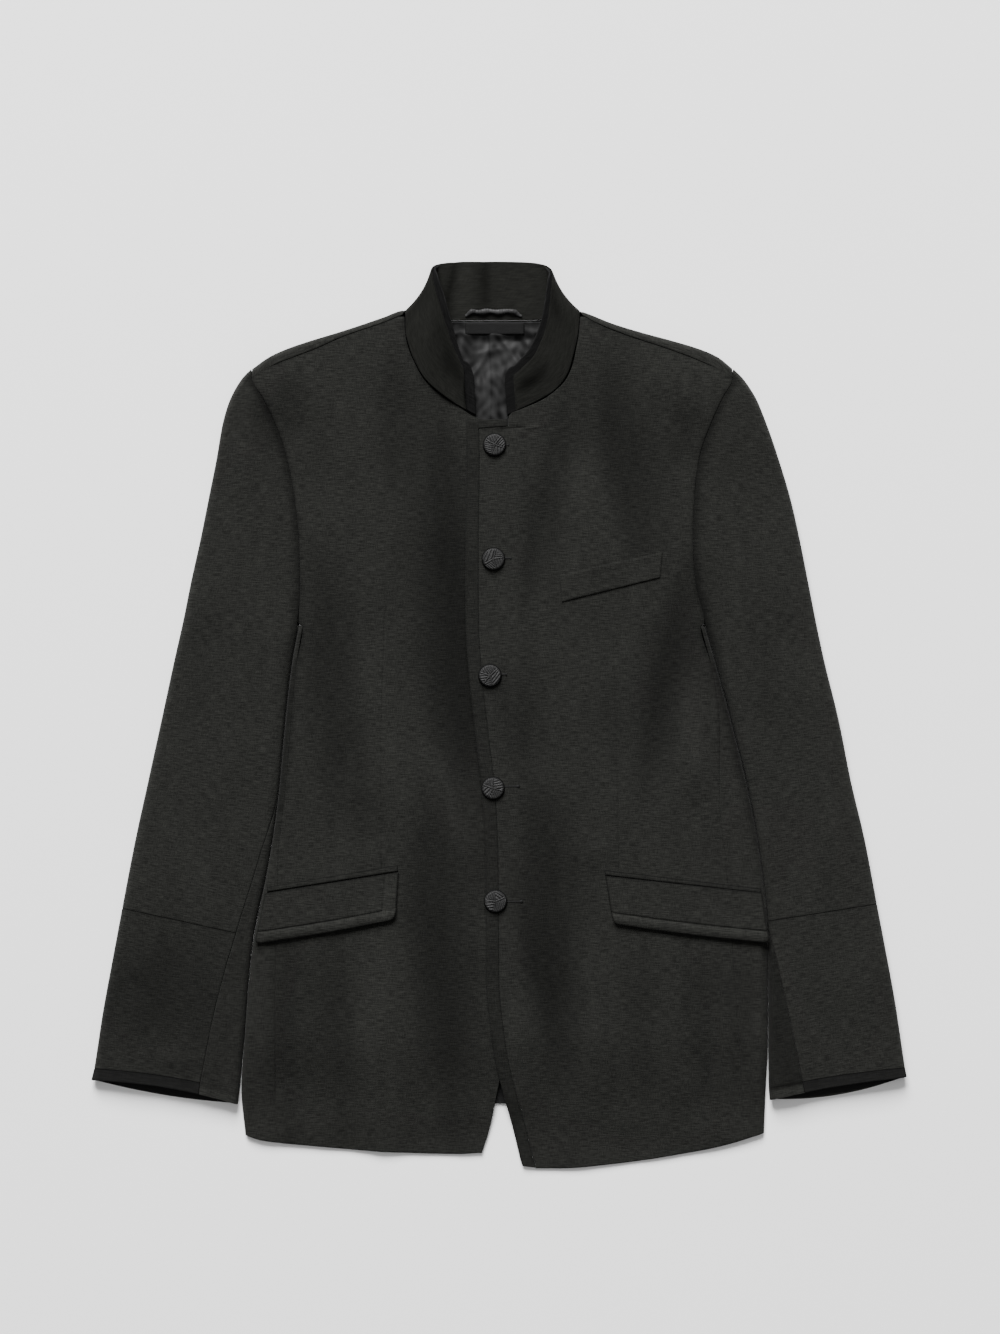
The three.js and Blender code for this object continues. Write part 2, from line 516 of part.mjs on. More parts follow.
function back() {
  const leftUnder = (y) => (y > 82 ? along(armholes, 'y', y, 'left')
    : along(sides, 'y', y, 'leftFold') + along(sides, 'y', y, 'under')) + backSeamGap;
  const rightUnder = (y) => (y > 82 ? along(armholes, 'y', y, 'right')
    : along(sides, 'y', y, 'rightFold') - along(sides, 'y', y, 'under')) - backSeamGap;
  const rows = levels([...armholes, ...sides].map(yOf).filter((y) => y > -340).concat([-357]), 60).reverse();
  const [first, last] = [backColumns[0].x, backColumns[backColumns.length - 1].x];
  const flat = rows.map((y) => backColumns.map((column) => {
    const share = (column.x - first) / (last - first);
    const across = (at) => lerp(leftUnder(at), rightUnder(at), share);
    const place = towardsHem(across(y), y, backHemMiddle, backHem);
    return new THREE.Vector3(across(place), place, 0);
  }));
  const shoulderSteps = 10;
  const flatSteps = 2;
  const pathAt = (column) => {
    const edge = along(shoulderEdge, 'x', column.x, 'y');
    const seam = column.x < 0 ? seamY('left', column.x) : seamY('right', column.x);
    const height = lay(column.x, seam);
    const overTop = column.roll === 180;
    const round = overTop ? clamp(edge - seam - 0.4, neckRound - 1, shoulderRound)
      : lerp(shoulderRound, neckRound, column.roll / 100);
    const centre = edge - round;
    const inside = { wide: round - Math.min(cloth, 0.8 * round), tall: height / 2 - cloth };
    const arcEnd = overTop ? shoulderSteps - 1 : shoulderSteps;
    const outer = [];
    const inner = [];
    for (let k = 1; k <= shoulderSteps; k++) {
      if (column.roll === 0) {
        const y = lerp(308, backNeckline, k / shoulderSteps);
        outer.push(new THREE.Vector3(column.x, y, 0));
        inner.push(new THREE.Vector3(column.x, y, cloth));
      } else if (k <= flatSteps) {
        const y = lerp(308, centre, k / flatSteps);
        outer.push(new THREE.Vector3(column.x, y, 0));
        inner.push(new THREE.Vector3(column.x, y, cloth));
      } else if (k <= arcEnd) {
        const angle = ((k - flatSteps) / (arcEnd - flatSteps)) * THREE.MathUtils.degToRad(column.roll);
        const [out, up] = [Math.sin(angle), -Math.cos(angle)];
        outer.push(new THREE.Vector3(column.x, centre + round * out, height / 2 * (1 + up)));
        inner.push(new THREE.Vector3(column.x, centre + inside.wide * out, height / 2 + inside.tall * up));
      } else {
        const y = Math.min(seam + seamGap, centre - 0.1);
        outer.push(new THREE.Vector3(column.x, y, height));
        inner.push(new THREE.Vector3(column.x, y, height - cloth));
      }
    }
    return { outer, inner };
  };
  const paths = backColumns.map(pathAt);
  const face = flat.concat(
    Array.from({ length: shoulderSteps }, (_, k) => paths.map((path) => path.outer[k])),
  );
  const other = flat.map((row) => row.map((p) => new THREE.Vector3(p.x, p.y, cloth)))
    .concat(Array.from({ length: shoulderSteps }, (_, k) => paths.map((path) => path.inner[k])));
  return wall(face, other);
}

// The height on Y of a shoulder seam at a place along X
function seamY(side, x) {
  return along(shoulderSeams, side, x, 'y');
}

// A section of a sleeve between two rows of its table
function sleeveRow(table, at) {
  const low = Math.min(Math.floor(at), table.length - 2);
  const share = at - low;
  return Object.fromEntries(Object.keys(table[0])
    .map((key) => [key, lerp(table[low][key], table[low + 1][key], share)]));
}

// Rows of a sleeve piece from one row to another, drawn in by half a seam's gap at both ends
function sleeveRows(table, from, to) {
  const result = [];
  for (let at = from; at <= to; at++) result.push(at);
  const lengthOfStep = (at) => {
    const [a, b] = [sleeveRow(table, at), sleeveRow(table, at + 1)];
    return Math.hypot(a.outX - b.outX, a.outY - b.outY);
  };
  if (from > 0) result[0] += seamGap / 2 / lengthOfStep(from);
  if (to < table.length - 1) result[result.length - 1] -= seamGap / 2 / lengthOfStep(to - 1);
  return result;
}

const sleeveHeight = (x, y) => Math.max(lay(x, y) - 0.6, 2 * sleeveCloth + 1);

function sleevePlace(row, fromOuter) {
  const start = fromOuter
    ? new THREE.Vector3(row.outX, row.outY, 0)
    : new THREE.Vector3(row.inX, row.inY, 0);
  const end = fromOuter ? new THREE.Vector3(row.inX, row.inY, 0) : new THREE.Vector3(row.outX, row.outY, 0);
  const width = start.distanceTo(end);
  const place = (distance, z) => start.clone().lerp(end, distance / width).setZ(z);
  const heightAt = (distance) => {
    const spot = place(distance, 0);
    return sleeveHeight(spot.x, spot.y);
  };
  return { width, place, heightAt };
}

const sectionSteps = 11;        // across an under sleeve
const roundAt = (width) => Math.min(outerRound, width * 0.6);
const elbowAt = (width) => Math.min(elbowSeam, width * 0.75);

function upperSleeve(table, from, to) {
  const sections = sleeveRows(table, from, to).map((at) => {
    const row = sleeveRow(table, at);
    const { width, place, heightAt } = sleevePlace(row, true);
    return foldSection({
      place,
      heightAt,
      round: roundAt(width),
      topReach: width - row.front - seamGap / 2,
      bottomReach: elbowAt(width),
      thickness: sleeveCloth,
      topSteps: 8,
      bottomSteps: 1,
    });
  });
  return wall(sections.map((s) => s.outer), sections.map((s) => s.inner));
}

function underSleeve(table) {
  const sections = sleeveRows(table, 0, table.length - 1).map((at) => {
    const row = sleeveRow(table, at);
    const { width, place, heightAt } = sleevePlace(row, false);
    const sewnToBody = at < underarm;
    const bottomReach = width - elbowAt(width) - seamGap;
    if (sewnToBody) {
      const flat = (z) => Array.from({ length: sectionSteps + 1 }, (_, k) => (
        place(lerp(seamGap / 2, bottomReach, k / sectionSteps), z)));
      return { outer: flat(0), inner: flat(sleeveCloth) };
    }
    const round = Math.min(innerRound, row.front - 0.3);
    return foldSection({
      place,
      heightAt,
      round,
      topReach: row.front - seamGap / 2,
      bottomReach,
      thickness: sleeveCloth,
      topSteps: 2,
      bottomSteps: sectionSteps - 2 - arcSteps,
    });
  });
  return wall(sections.map((s) => s.outer), sections.map((s) => s.inner));
}

// The collar's outer face: from its foot to its top edge, drawn in at the waist, and on past it
function collarPoint(at, up) {
  const row = sleeveRow(collarRows, clamp(at, 0, collarRows.length - 1));
  const foot = new THREE.Vector3(row.footX, row.footY, row.footZ);
  const top = new THREE.Vector3(row.topX, row.topY, row.topZ);
  const point = foot.clone().lerp(top, up);
  point.x += row.waist * 4 * clamp(up, 0, 1) * (1 - clamp(up, 0, 1)) * (1 - 0.4 * up);
  return point;
}

// A collar layer between two depths under the outer face, by the face's own normals
function collarLayer(places, upSteps, reachAt, nearDepth, farDepth) {
  const face = places.map((at) => upSteps.map((up) => reachAt(at, up)));
  const normalAt = (i, j) => {
    const last = face.length - 1;
    const side = upSteps.length - 1;
    const alongNeck = face[Math.min(i + 1, last)][j].clone().sub(face[Math.max(i - 1, 0)][j]);
    const upwards = face[i][Math.min(j + 1, side)].clone().sub(face[i][Math.max(j - 1, 0)]);
    return new THREE.Vector3().crossVectors(alongNeck, upwards).normalize();
  };
  const middle = Math.floor(face.length / 2);
  const inwards = normalAt(middle, 1).z > 0 ? 1 : -1;
  const sunk = (p, i, j, depth) => p.clone().addScaledVector(normalAt(i, j), inwards * depth);
  const layer = (depth) => face.map((row, i) => row.map((p, j) => sunk(p, i, j, depth)));
  return wall(layer(nearDepth), layer(farDepth));
}

const collarPlaces = collarRows.map((_, i) => i);

function outerCollar() {
  return collarLayer(collarPlaces, [0.008, 0.25, 0.5, 0.75, 1], collarPoint, 0, collarCloth);
}

function innerCollar() {
  const last = collarRows.length - 1;
  const reachAt = (at, up) => {
    const inside = clamp(at, 0, last);
    const row = sleeveRow(collarRows, inside);
    const height = collarPoint(inside, 1).distanceTo(collarPoint(inside, 0));
    return collarPoint(inside, up * (1 + row.proud / height));
  };
  const ends = (at, up) => {
    const inside = at < 0 ? 0 : last;
    const next = at < 0 ? 1 : last - 1;
    const point = reachAt(inside, up);
    const away = reachAt(inside, 0).sub(reachAt(next, 0)).setZ(0).normalize();
    return point.addScaledVector(away, facingReach * (up < 0.5 ? 1 : 0.9));
  };
  const point = (at, up) => (at < 0 || at > last ? ends(at, up) : reachAt(at, up));
  return collarLayer([-1, ...collarPlaces, last + 1], [0.008, 0.25, 0.5, 0.75, 0.9, 1], point,
    collarCloth + seamGap, 2 * collarCloth + seamGap);
}

function neckLining() {
  const [columns, rows] = [8, 8];
  const point = (across, down, lift) => {
    const x = lerp(lining.left, lining.right, across);
    const y = lerp(lining.top, lining.bottom, down);
    const crumple = 0.35 * Math.sin(x / 9 + y / 23) + 0.25 * Math.cos(y / 11);
    return new THREE.Vector3(x, y, cloth + seamGap + 0.6 + crumple * ease((lining.top - y) / 20) + lift);
  };
  const row = (down, lift) => Array.from({ length: columns + 1 }, (_, j) => point(j / columns, down, lift));
  const grid = (lift) => Array.from({ length: rows + 1 }, (_, i) => row(i / rows, lift));
  return wall(grid(liningCloth), grid(0));
}

function labelPiece() {
  const across = (y, z) => [label.left, label.right].map((x) => new THREE.Vector3(x, y, z));
  const grid = (z) => [label.top, label.bottom].map((y) => across(y, z));
  const low = cloth + liningCloth + 0.6 + 2 * seamGap + 0.35;
  return wall(grid(low + 1), grid(low));
}

// Hanger loop: a narrow tape that bows up from its two tacked ends
function hangerLoop() {
  const low = 2 * collarCloth + 2 * seamGap;
  const steps = 10;
  const grid = (z) => Array.from({ length: steps + 1 }, (_, i) => {
    const share = i / steps;
    const rise = ease(share / 0.12) * ease((1 - share) / 0.12);
    const x = lerp(loop.left, loop.right, share);
    const y = lerp(loop.foot, loop.top, rise);
    return [new THREE.Vector3(x, y, z + 0.8 * rise), new THREE.Vector3(x, y - loop.width, z + 0.8 * rise)];
  });
  return wall(grid(low + loop.depth), grid(low));
}

// The highest cloth under a place, looking down from above on the pieces already made
const looker = new THREE.Raycaster();
function topOf(meshes, x, y) {
  looker.set(new THREE.Vector3(x, y, 100), new THREE.Vector3(0, 0, -1));
  const hits = looker.intersectObjects(meshes, false);
  return hits.length ? hits[0].point.z : 0;
}

function topAround(meshes, x, y, reach) {
  const steps = [-1, -0.5, 0, 0.5, 1];
  return Math.max(...steps.flatMap((i) => steps.map((j) => topOf(meshes, x + i * reach, y + j * reach))));
}

// A piece that lies on the cloth between four corners
function laidPiece(corners, columns, rows, thickness, meshes, bow) {
  const onCloth = (x) => clamp(x, flapReach.left, flapReach.right);
  const between = (across, down, k) => lerp(
    lerp(corners.topLeft[k], corners.topRight[k], across),
    lerp(corners.bottomLeft[k], corners.bottomRight[k], across),
    down,
  );
  const place = (across, down) => {
    const sag = bow * 4 * across * (1 - across) * down;
    return [between(across, down, 0), between(across, down, 1) - sag];
  };
  const row = (down) => Array.from({ length: columns + 1 }, (_, j) => place(j / columns, down));
  const grid = Array.from({ length: rows + 1 }, (_, i) => row(i / rows));
  const laidOn = ([x, y]) => new THREE.Vector3(x, y, topAround(meshes, onCloth(x), y, 6) + seamGap);
  const under = grid.map((row) => row.map(laidOn));
  const top = under.map((row) => row.map((p) => new THREE.Vector3(p.x, p.y, p.z + thickness)));
  return wall(top, under);
}

// A button turned about its middle: flat below, a low dome above with a rounded rim
function button(place, meshes) {
  const radius = buttonDiameter / 2;
  const profile = [[0, 0], [radius - 1, 0], [radius, 1], [radius, buttonHeight - 1.4],
    [radius - 1, buttonHeight - 0.5], [radius * 0.5, buttonHeight], [0, buttonHeight]]
    .map(([x, y]) => new THREE.Vector2(x, y));
  const geometry = new THREE.LatheGeometry(profile, 14);
  geometry.rotateX(Math.PI / 2);
  const seats = [0, 45, 90, 135, 180, 225, 270, 315].map((turn) => {
    const angle = THREE.MathUtils.degToRad(turn);
    return topOf(meshes, place.x + radius * Math.cos(angle), place.y + radius * Math.sin(angle));
  });
  geometry.translate(place.x, place.y, Math.max(topOf(meshes, place.x, place.y), ...seats) + seamGap);
  return geometry;
}

add('back', back(), wool);
const leftSide = add('side_left', sidePanel('leftFold', 'leftSeam', 1), wool);
const rightSide = add('side_right', sidePanel('rightFold', 'rightSeam', -1), wool);
const under = add('front_under', underFront(), wool);
const over = add('front_over', overFront(), wool);
const band = add('front_band', frontBand(), wool);
for (const [side, table] of [['left', leftSleeve], ['right', rightSleeve]]) {
  add(`sleeve_${side}_upper`, upperSleeve(table, 0, crossSeam), wool);
  add(`sleeve_${side}_lower`, upperSleeve(table, crossSeam, cuffEdge), wool);
  add(`cuff_${side}_band`, upperSleeve(table, cuffEdge, table.length - 1), dark);
  add(`sleeve_${side}_under`, underSleeve(table), wool);
}
add('collar_outer', outerCollar(), wool);
add('collar_inner', innerCollar(), dark);
add('back_lining', neckLining(), satin);
add('neck_label', labelPiece(), dark);
add('hanger_loop', hangerLoop(), satin);
add('flap_left', laidPiece(leftFlap, 9, 3, flapCloth, [leftSide, under], 1.5), wool);
add('flap_right', laidPiece(rightFlap, 9, 3, flapCloth, [rightSide, over], 1.5), wool);
add('jet_left', laidPiece(leftJet, 9, 1, jetCloth, [leftSide, under], 0), wool);
add('jet_right', laidPiece(rightJet, 9, 1, jetCloth, [rightSide, over], 0), wool);
add('breast_welt', laidPiece(breastWelt, 7, 2, weltCloth, [over], 0), wool);
buttonPlaces.forEach((place, i) => add(`button_${i + 1}`, button(place, [over, band]), thread));

export default jacket;
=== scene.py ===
import bpy
import numpy as np
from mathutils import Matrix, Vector


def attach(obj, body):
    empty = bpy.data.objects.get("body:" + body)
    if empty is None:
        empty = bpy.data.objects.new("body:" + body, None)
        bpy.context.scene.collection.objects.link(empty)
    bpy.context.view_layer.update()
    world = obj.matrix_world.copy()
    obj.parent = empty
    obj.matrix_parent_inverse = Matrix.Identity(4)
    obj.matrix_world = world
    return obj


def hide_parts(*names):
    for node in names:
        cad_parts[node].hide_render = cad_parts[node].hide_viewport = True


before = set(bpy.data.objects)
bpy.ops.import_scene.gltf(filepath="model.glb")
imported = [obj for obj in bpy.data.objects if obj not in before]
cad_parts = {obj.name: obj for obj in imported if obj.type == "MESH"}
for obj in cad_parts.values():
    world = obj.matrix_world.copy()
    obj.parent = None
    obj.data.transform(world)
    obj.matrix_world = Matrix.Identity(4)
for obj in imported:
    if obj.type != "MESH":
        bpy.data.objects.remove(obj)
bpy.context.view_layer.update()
print("frame loaded:", len(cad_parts), "nodes")

# Sizes shared by the pieces
metre = 0.001                   # metres in a millimetre
cloth, sleeveCloth, collarCloth, liningCloth = 2.2, 2.0, 1.8, 1.1      # thicknesses
seamGap = 0.3                   # between layers
seamOpen = 0.06                 # between neighbours on the table
panelStep = 3.2                 # between rows of the body's panels
restHeight = 13.0               # top of the fronts between the folds
overRest = 0.12                 # share of the placket's fold that shows on the over front
hemBend = 110                   # rows bend to the hem over this length
# The cloth sinks towards the hem, and a little more where the back has ended
sinking = {"start": -290, "length": 90, "depth": 8.0, "backFade": 34, "backDepth": 1.9}
# The over front lies higher beside its edge, up to the side and down to the foot of the lap
lap = {"rise": 3.1, "side": 15, "sideFade": 20, "foot": -372, "footFade": 26}
near = np.array([0, 0.2, 0.5, 0.95, 1.6, 2.8])     # first columns beside a seam or an edge


# A table of named columns, a row for each place
def table(names, rows):
    return dict(zip(names.split(), np.array(rows, float).T))


# Folds that run down the cloth. Each passes through three places and rises or dips by so much
# between its ends. The side towards the light is its own width, and the far side another.
folds = table("topX topY middleX endX endY left right rise", [
    (-52, 352, -38, -8, -210, 30, 20, -7.6),       # the under front beside the placket
    (-166, 170, -153, -146, -130, 20, 34, -4.4), (-100, 345, -96, -94, 170, 15, 24, -3.2),
    (-192, 318, -191, -189, 238, 10, 17, -2.2), (-128, 90, -107, -86, -146, 16, 34, 3.6),
    (-126, -62, -125, -124, -132, 15, 22, -2.2), (-64, -24, -43, -18, -156, 13, 26, 3.0),
    (-66, -40, -54, -42, -430, 27, 30, -5.9), (-108, -160, -110, -108, -440, 18, 36, 4.2),
    (-194, -180, -194, -192, -430, 18, 20, -3.2), (-153, -190, -150, -147, -410, 20, 24, -2.8),
    (-216, -222, -216, -215, -336, 8, 11, 1.5), (-150, 330, -140, -133, 190, 18, 18, 1.2),
    (70, 335, 50, 26, 80, 15, 26, -3.8), (98, 345, 114, 140, 90, 17, 30, -5.2),
    (72, 258, 78, 86, 68, 19, 24, 2.4), (169, 295, 169, 169, 212, 12, 20, -2.4),
    (147, 312, 146, 145, 255, 9, 13, -1.0), (180, 160, 157, 130, -100, 19, 30, -5.2),
    (104, 40, 104, 104, -78, 9, 13, -1.5), (172, 46, 174, 176, -88, 15, 18, 2.8),
    (38, -40, 47, 60, -380, 20, 30, -6.0), (9, -126, 32, 54, -326, 11, 15, -1.8),
    (21, -220, 25, 29, -410, 11, 17, 2.0), (187, -212, 188, 190, -372, 13, 17, -2.6),
    (217, -215, 219, 221, -352, 12, 13, -2.0), (82, -170, 88, 96, -370, 22, 19, 1.8),
    (130, -208, 133, 138, -384, 17, 16, -1.4), (2, 60, 14, 34, -110, 12, 22, -2.0),
    (-219, 298, -214, -206, 220, 9, 13, -2.4), (-243, 266, -238, -232, 185, 10, 10, 1.2),
    (-262, 118, -270, -282, -26, 18, 18, -1.0), (268, 212, 262, 262, 54, 16, 14, 1.0),
    (232, 126, 246, 262, -66, 16, 14, -1.2), (300, -54, 312, 322, -178, 18, 16, 0.9),
    (-300, -184, -312, -330, -316, 16, 16, -1.1),
])

# Rounder swells and hollows: shoulder pads, neck, chest and a few dents
swells = table("x y across along rise", [
    (-205, 300, 60, 48, 6.4), (200, 300, 60, 48, 6.4), (-88, 348, 42, 40, 1.4), (76, 348, 42, 40, 1.4),
    (-25, 288, 62, 24, -1.8), (-104, 170, 50, 110, 2.6), (110, 190, 60, 80, 1.4), (30, -37, 24, 27, -2.4),
    (88, -126, 16, 12, 1.6), (168, -340, 20, 20, 1.8), (-332, -251, 15, 15, -2.2),
    (-294, -317, 20, 10, 1.7), (25, 60, 22, 26, 1.0), (-290, 60, 40, 70, 0.9), (295, -20, 34, 80, 0.9),
    (320, -270, 26, 30, 0.9), (-20, -215, 12, 24, 1.0),
])

# Soft unevenness of the cloth: waves with a length, a direction in degrees, a shift and a height
ripples = table("length turn shift rise", [
    (96, 8, 0.4, 0.40), (61, -5, 1.9, 0.26), (43, 11, 4.1, 0.16), (29, -9, 2.6, 0.10),
    (120, 84, 5.2, 0.20), (19, 4, 3.3, 0.05),
])

armholes = table("y left right", [
    (308, -226, 213.5), (291, -216.3, 204.6), (268, -205.3, 194.3), (235, -194.2, 183.3),
    (198, -187.2, 179), (161, -183.2, 177.6), (120, -182.2, 180.3), (82, -184, 188.8),
])
sides = table("y leftFold leftSeam rightSeam rightFold round under", [
    (82, -183.85, -179.8, 185, 188.65, 2.7, 4), (43, -190.75, -186, 195, 200.05, 3.8, 18),
    (-14, -197.05, -191, 202.4, 215.25, 4.8, 28), (-72, -202.35, -196, 202, 229.25, 5.4, 30),
    (-132, -210.85, -202.4, 207.5, 239.9, 6.4, 30), (-180, -220.4, -203.3, 211.6, 245.6, 7.5, 30),
    (-210, -226.0, -204.2, 213.9, 246.8, 8.5, 30), (-245, -229.8, -205.2, 216.2, 246.8, 8.5, 30),
    (-295, -233.5, -205.2, 219.9, 246.9, 8.5, 30), (-345, -236.6, -205.2, 223.1, 245.0, 7, 30),
    (-386, -233.0, -205.2, 225.4, 243.4, 5, 30),
])
shoulderSeams = table("y left right", [
    (367, -87.2, 75), (358, -109.5, 91), (347.8, -139.8, 117), (335, -168.4, 155), (322, -201.5, 188),
    (308, -226, 213.5),
])
shoulderEdge = table("x y", [
    (-226, 317.5), (-210.7, 328.4), (-195, 335.8), (-173.9, 343.2), (-150, 350.5), (-127, 357.9),
    (-105.8, 365.2), (-86.5, 371.5), (-79, 370.2), (-70, 368), (-55, 368), (-40, 368.5), (40, 368.5),
    (50, 368), (60, 368), (68, 369.2), (74.5, 370.5), (78.2, 369.5), (104, 359.5), (133.4, 350.5),
    (160, 343.2), (184, 335.8), (200.6, 328.4), (213.5, 318),
])
underNeckline = table("y x", [
    (367, -86.8), (347.8, -85.6), (335, -82.5), (322, -77), (308, -69), (291, -50), (281, -34.5),
    (272.3, -20.2), (265, 12.5),
])
overNeckline = table("y x", [
    (367, 74.6), (347.8, 72.9), (335, 70.5), (322, 67.7), (308, 61.5), (291, 43), (281, 22), (275, 9),
    (264.4, 8), (262.2, -18.2),
])
underEdge = table("y x", [
    (265, 12.5), (-245, 11), (-295, 8.6), (-320, 4), (-345, -1.5), (-380, -8.6), (-403, -16),
])
bandLine = table("y x", [
    (262.2, -18.2), (235, -17.8), (161, -18.7), (120, -18.8), (82, -18.5), (43, -16), (-14, -10),
    (-72, -3.4), (-132, -0.6), (-210, -0.1), (-245, 0.2), (-295, 5.2), (-320, 9.3), (-345, 15.3),
    (-380, 24.8), (-416, 33.5),
])
hem = table("x y", [
    (-236, -385), (-217, -391), (-167, -396.5), (-94, -402), (-38, -403.5), (-16, -402.5), (23, -415.5),
    (28, -416.7), (54, -416.7), (111, -412), (176, -402), (205, -396), (244, -384),
])
backHem = {"middle": -357, "rise": -24, "halfWidth": 205}


# A smooth curve through a table's places: cubic between them, with slopes that never overshoot
def curve(places, values, at):
    order = np.argsort(places)
    places, values = np.asarray(places)[order], np.asarray(values)[order]
    step = np.diff(places)
    slope = np.diff(values) / step
    before, after = slope[:-1], slope[1:]
    same = before * after > 0
    middle = np.where(same, 2 * before * after / np.where(same, before + after, 1), 0)
    tangent = np.concatenate([slope[:1], middle, slope[-1:]])
    at = np.clip(at, places[0], places[-1])
    i = np.clip(np.searchsorted(places, at, side="right") - 1, 0, len(step) - 1)
    t = (at - places[i]) / step[i]
    return (values[i] * (1 + 2 * t) * (1 - t) ** 2 + values[i + 1] * t * t * (3 - 2 * t)
            + step[i] * (tangent[i] * t * (1 - t) ** 2 - tangent[i + 1] * t * t * (1 - t)))


def joined(*parts):
    return tuple(np.concatenate(columns) for columns in zip(*parts))


# Smooth step from 0 to 1
def ease(value):
    t = np.clip(value, 0, 1)
    return t * t * (3 - 2 * t)


def bell(value):
    return np.exp(-value ** 2)


def mix(a, b, share):
    return a + (b - a) * share


# How far a sewn or turned edge goes down: a quarter round that ends at the edge
def sunk(distance, radius, depth):
    t = np.clip(1 - distance / radius, 0, 1)
    return depth * (1 - np.sqrt(1 - t * t))


foldDepth = 1.2
# Painted shade in the folds' hollows and painted highlight on their ridges: the darkest and lightest shares,
# reached at so many millimetres below or above the cloth at rest
paintedFoldShade = {"dark": 0.54, "hollow": 9, "light": 0.11, "ridge": 5}


# Sum over the folds of rise, times a fade at both ends, times a bell across the bowed centre line
# that narrows where it fades. The first fold, at the placket, counts by its own share.
def foldRelief(x, y, firstShare=1.0):
    total = np.zeros(np.broadcast(x, y).shape)
    shares = [firstShare] + [1.0] * (len(folds["rise"]) - 1)
    for share, topX, topY, middleX, endX, endY, left, right, rise in zip(shares, *folds.values()):
        down = (topY - y) / (topY - endY)
        bow = middleX - (topX + endX) / 2
        wander = 1.1 * np.sin(y / 38 + topX) + 0.4 * np.sin(y / 16 + endX)
        centre = mix(topX, endX, down) + bow * 4 * down * (1 - down) + wander
        fade = ease(down / 0.40) * ease((1 - down) / 0.40)
        wide = (0.5 + 0.5 * fade) * np.where(x < centre, left, right)
        uneven = 1 + 0.12 * np.sin(y / 42 + middleX)
        total += share * foldDepth * rise * uneven * fade ** 0.8 * bell((x - centre) / wide)
    return total


# Sum of round bells
def swellRelief(x, y):
    return sum(rise * bell((x - atX) / across) * bell((y - atY) / along)
               for atX, atY, across, along, rise in zip(*swells.values()))


# Sum of sine waves, each along its own direction
def rippleRelief(x, y):
    total = 0
    for length, turn, shift, rise in zip(*ripples.values()):
        angle = np.radians(turn)
        total = total + rise * np.sin((x * np.cos(angle) + y * np.sin(angle)) * 2 * np.pi / length + shift)
    return total


def hemAt(x):
    return curve(hem["x"], hem["y"], x)


def backHemAt(x):
    return backHem["middle"] + backHem["rise"] * (x / backHem["halfWidth"]) ** 2


# Top of the uppermost cloth over the table: rest height and relief, sinking towards the hem, kept
# above the layers below by a soft floor. The sleeves have no hem to sink to.
def lay(x, y, firstShare=1.0, onBody=True):
    raised = foldRelief(x, y, firstShare) + swellRelief(x, y) + rippleRelief(x, y)
    sink = onBody * sinking["depth"] * ease((sinking["start"] - y) / sinking["length"])
    pastBack = onBody * ease((backHemAt(x) - 1 - y) / sinking["backFade"])
    lowest = mix(2 * cloth + 3 * seamGap, cloth + 0.4, pastBack)
    spare = restHeight + raised - sink - sinking["backDepth"] * pastBack - lowest
    return lowest + 0.5 * (spare + np.sqrt(spare ** 2 + 0.8))


def overLay(x, y):
    fade = (1 - ease((x - lap["side"]) / lap["sideFade"])) * ease((y - lap["foot"]) / lap["footFade"])
    return lay(x, y, overRest) + lap["rise"] * fade


# Painted fold shading: how much darker the colour is made in the folds' hollows (painted shade), and how much
# lighter on their ridges (painted highlight)
def hollow(x, y, firstShare=1.0):
    relief = foldRelief(x, y, firstShare)
    dark = paintedFoldShade["dark"] * np.clip(-relief / paintedFoldShade["hollow"], 0, 1) ** 0.85
    return dark - paintedFoldShade["light"] * ease(relief / paintedFoldShade["ridge"])


# Near the hem the rows bend until the last one follows the hem's curve
def towardsHem(x, y, lowest, hemHeight):
    return y + (hemHeight(x) - lowest) * ease((lowest + hemBend - y) / hemBend)


# Rows from the first break to the last, with even steps of about one length between breaks and
# close rows beside the last
def rowsThrough(breaks, step, close=near):
    marks = np.array(breaks, float)
    parts = []
    for high, low in zip(marks[:-1], marks[1:]):
        count = max(int(np.ceil(abs(high - low) / step)), 1)
        parts.append(np.linspace(high, low, count + 1)[:-1])
    rows = np.concatenate(parts)
    last = marks[-1]
    if close is None:
        return np.append(rows, last)
    away = np.sign(marks[-2] - last)
    rows = rows[abs(rows - last) > close[-1]]
    return np.concatenate([rows, last + away * close[::-1]])


# Columns of a panel between guide lines: the span that each is in, its distance from the span's two
# lines, and its share between them
def columnsFor(counts):
    parts = []
    for span, count in enumerate(counts):
        start = near[:-1] if span == 0 else near[1:-1]
        end = near[:-1][::-1]
        parts.append([np.full(len(start), span), start, np.zeros(len(start))])
        parts.append([np.full(count + 1, span), np.full(count + 1, near[-1]), np.linspace(0, 1, count + 1)])
        parts.append([np.full(len(end), span), end, np.ones(len(end))])
    span, inset, share = np.concatenate(parts, axis=1)
    return span.astype(int), inset, share


def between(lines, columns):
    span, inset, share = columns
    pick = np.arange(len(span))
    left, right = lines[span, :, pick].T, lines[span + 1, :, pick].T
    inset = np.minimum(inset, 0.45 * (right - left))
    return mix(left + inset, right - inset, share)


# Places of a flat panel's points: columns between its guide lines, rows bent to its lower edge
def panelPlaces(rows, linesAt, columns, hemHeight=hemAt):
    y = np.repeat(rows[:, None], len(columns[0]), axis=1)
    y = towardsHem(between(linesAt(y), columns), y, rows.min(), hemHeight)
    return between(linesAt(y), columns), y


def stack(*parts):
    return np.stack(np.broadcast_arrays(*parts), axis=-1)


# Distances along the rows or columns of a grid, from its first point
def runAlong(points, axis):
    steps = np.linalg.norm(np.diff(points, axis=axis), axis=-1)
    return np.insert(np.cumsum(steps, axis=axis), 0, 0, axis=axis)


# Volume inside faces of four corners, counted from the origin: below zero where they face inwards
def volumeInside(points, quads):
    a, b, c, d = (points[quads[:, k]] for k in range(4))
    return (np.cross(b, c) * a).sum() + (np.cross(c, d) * a).sum()


made = {}
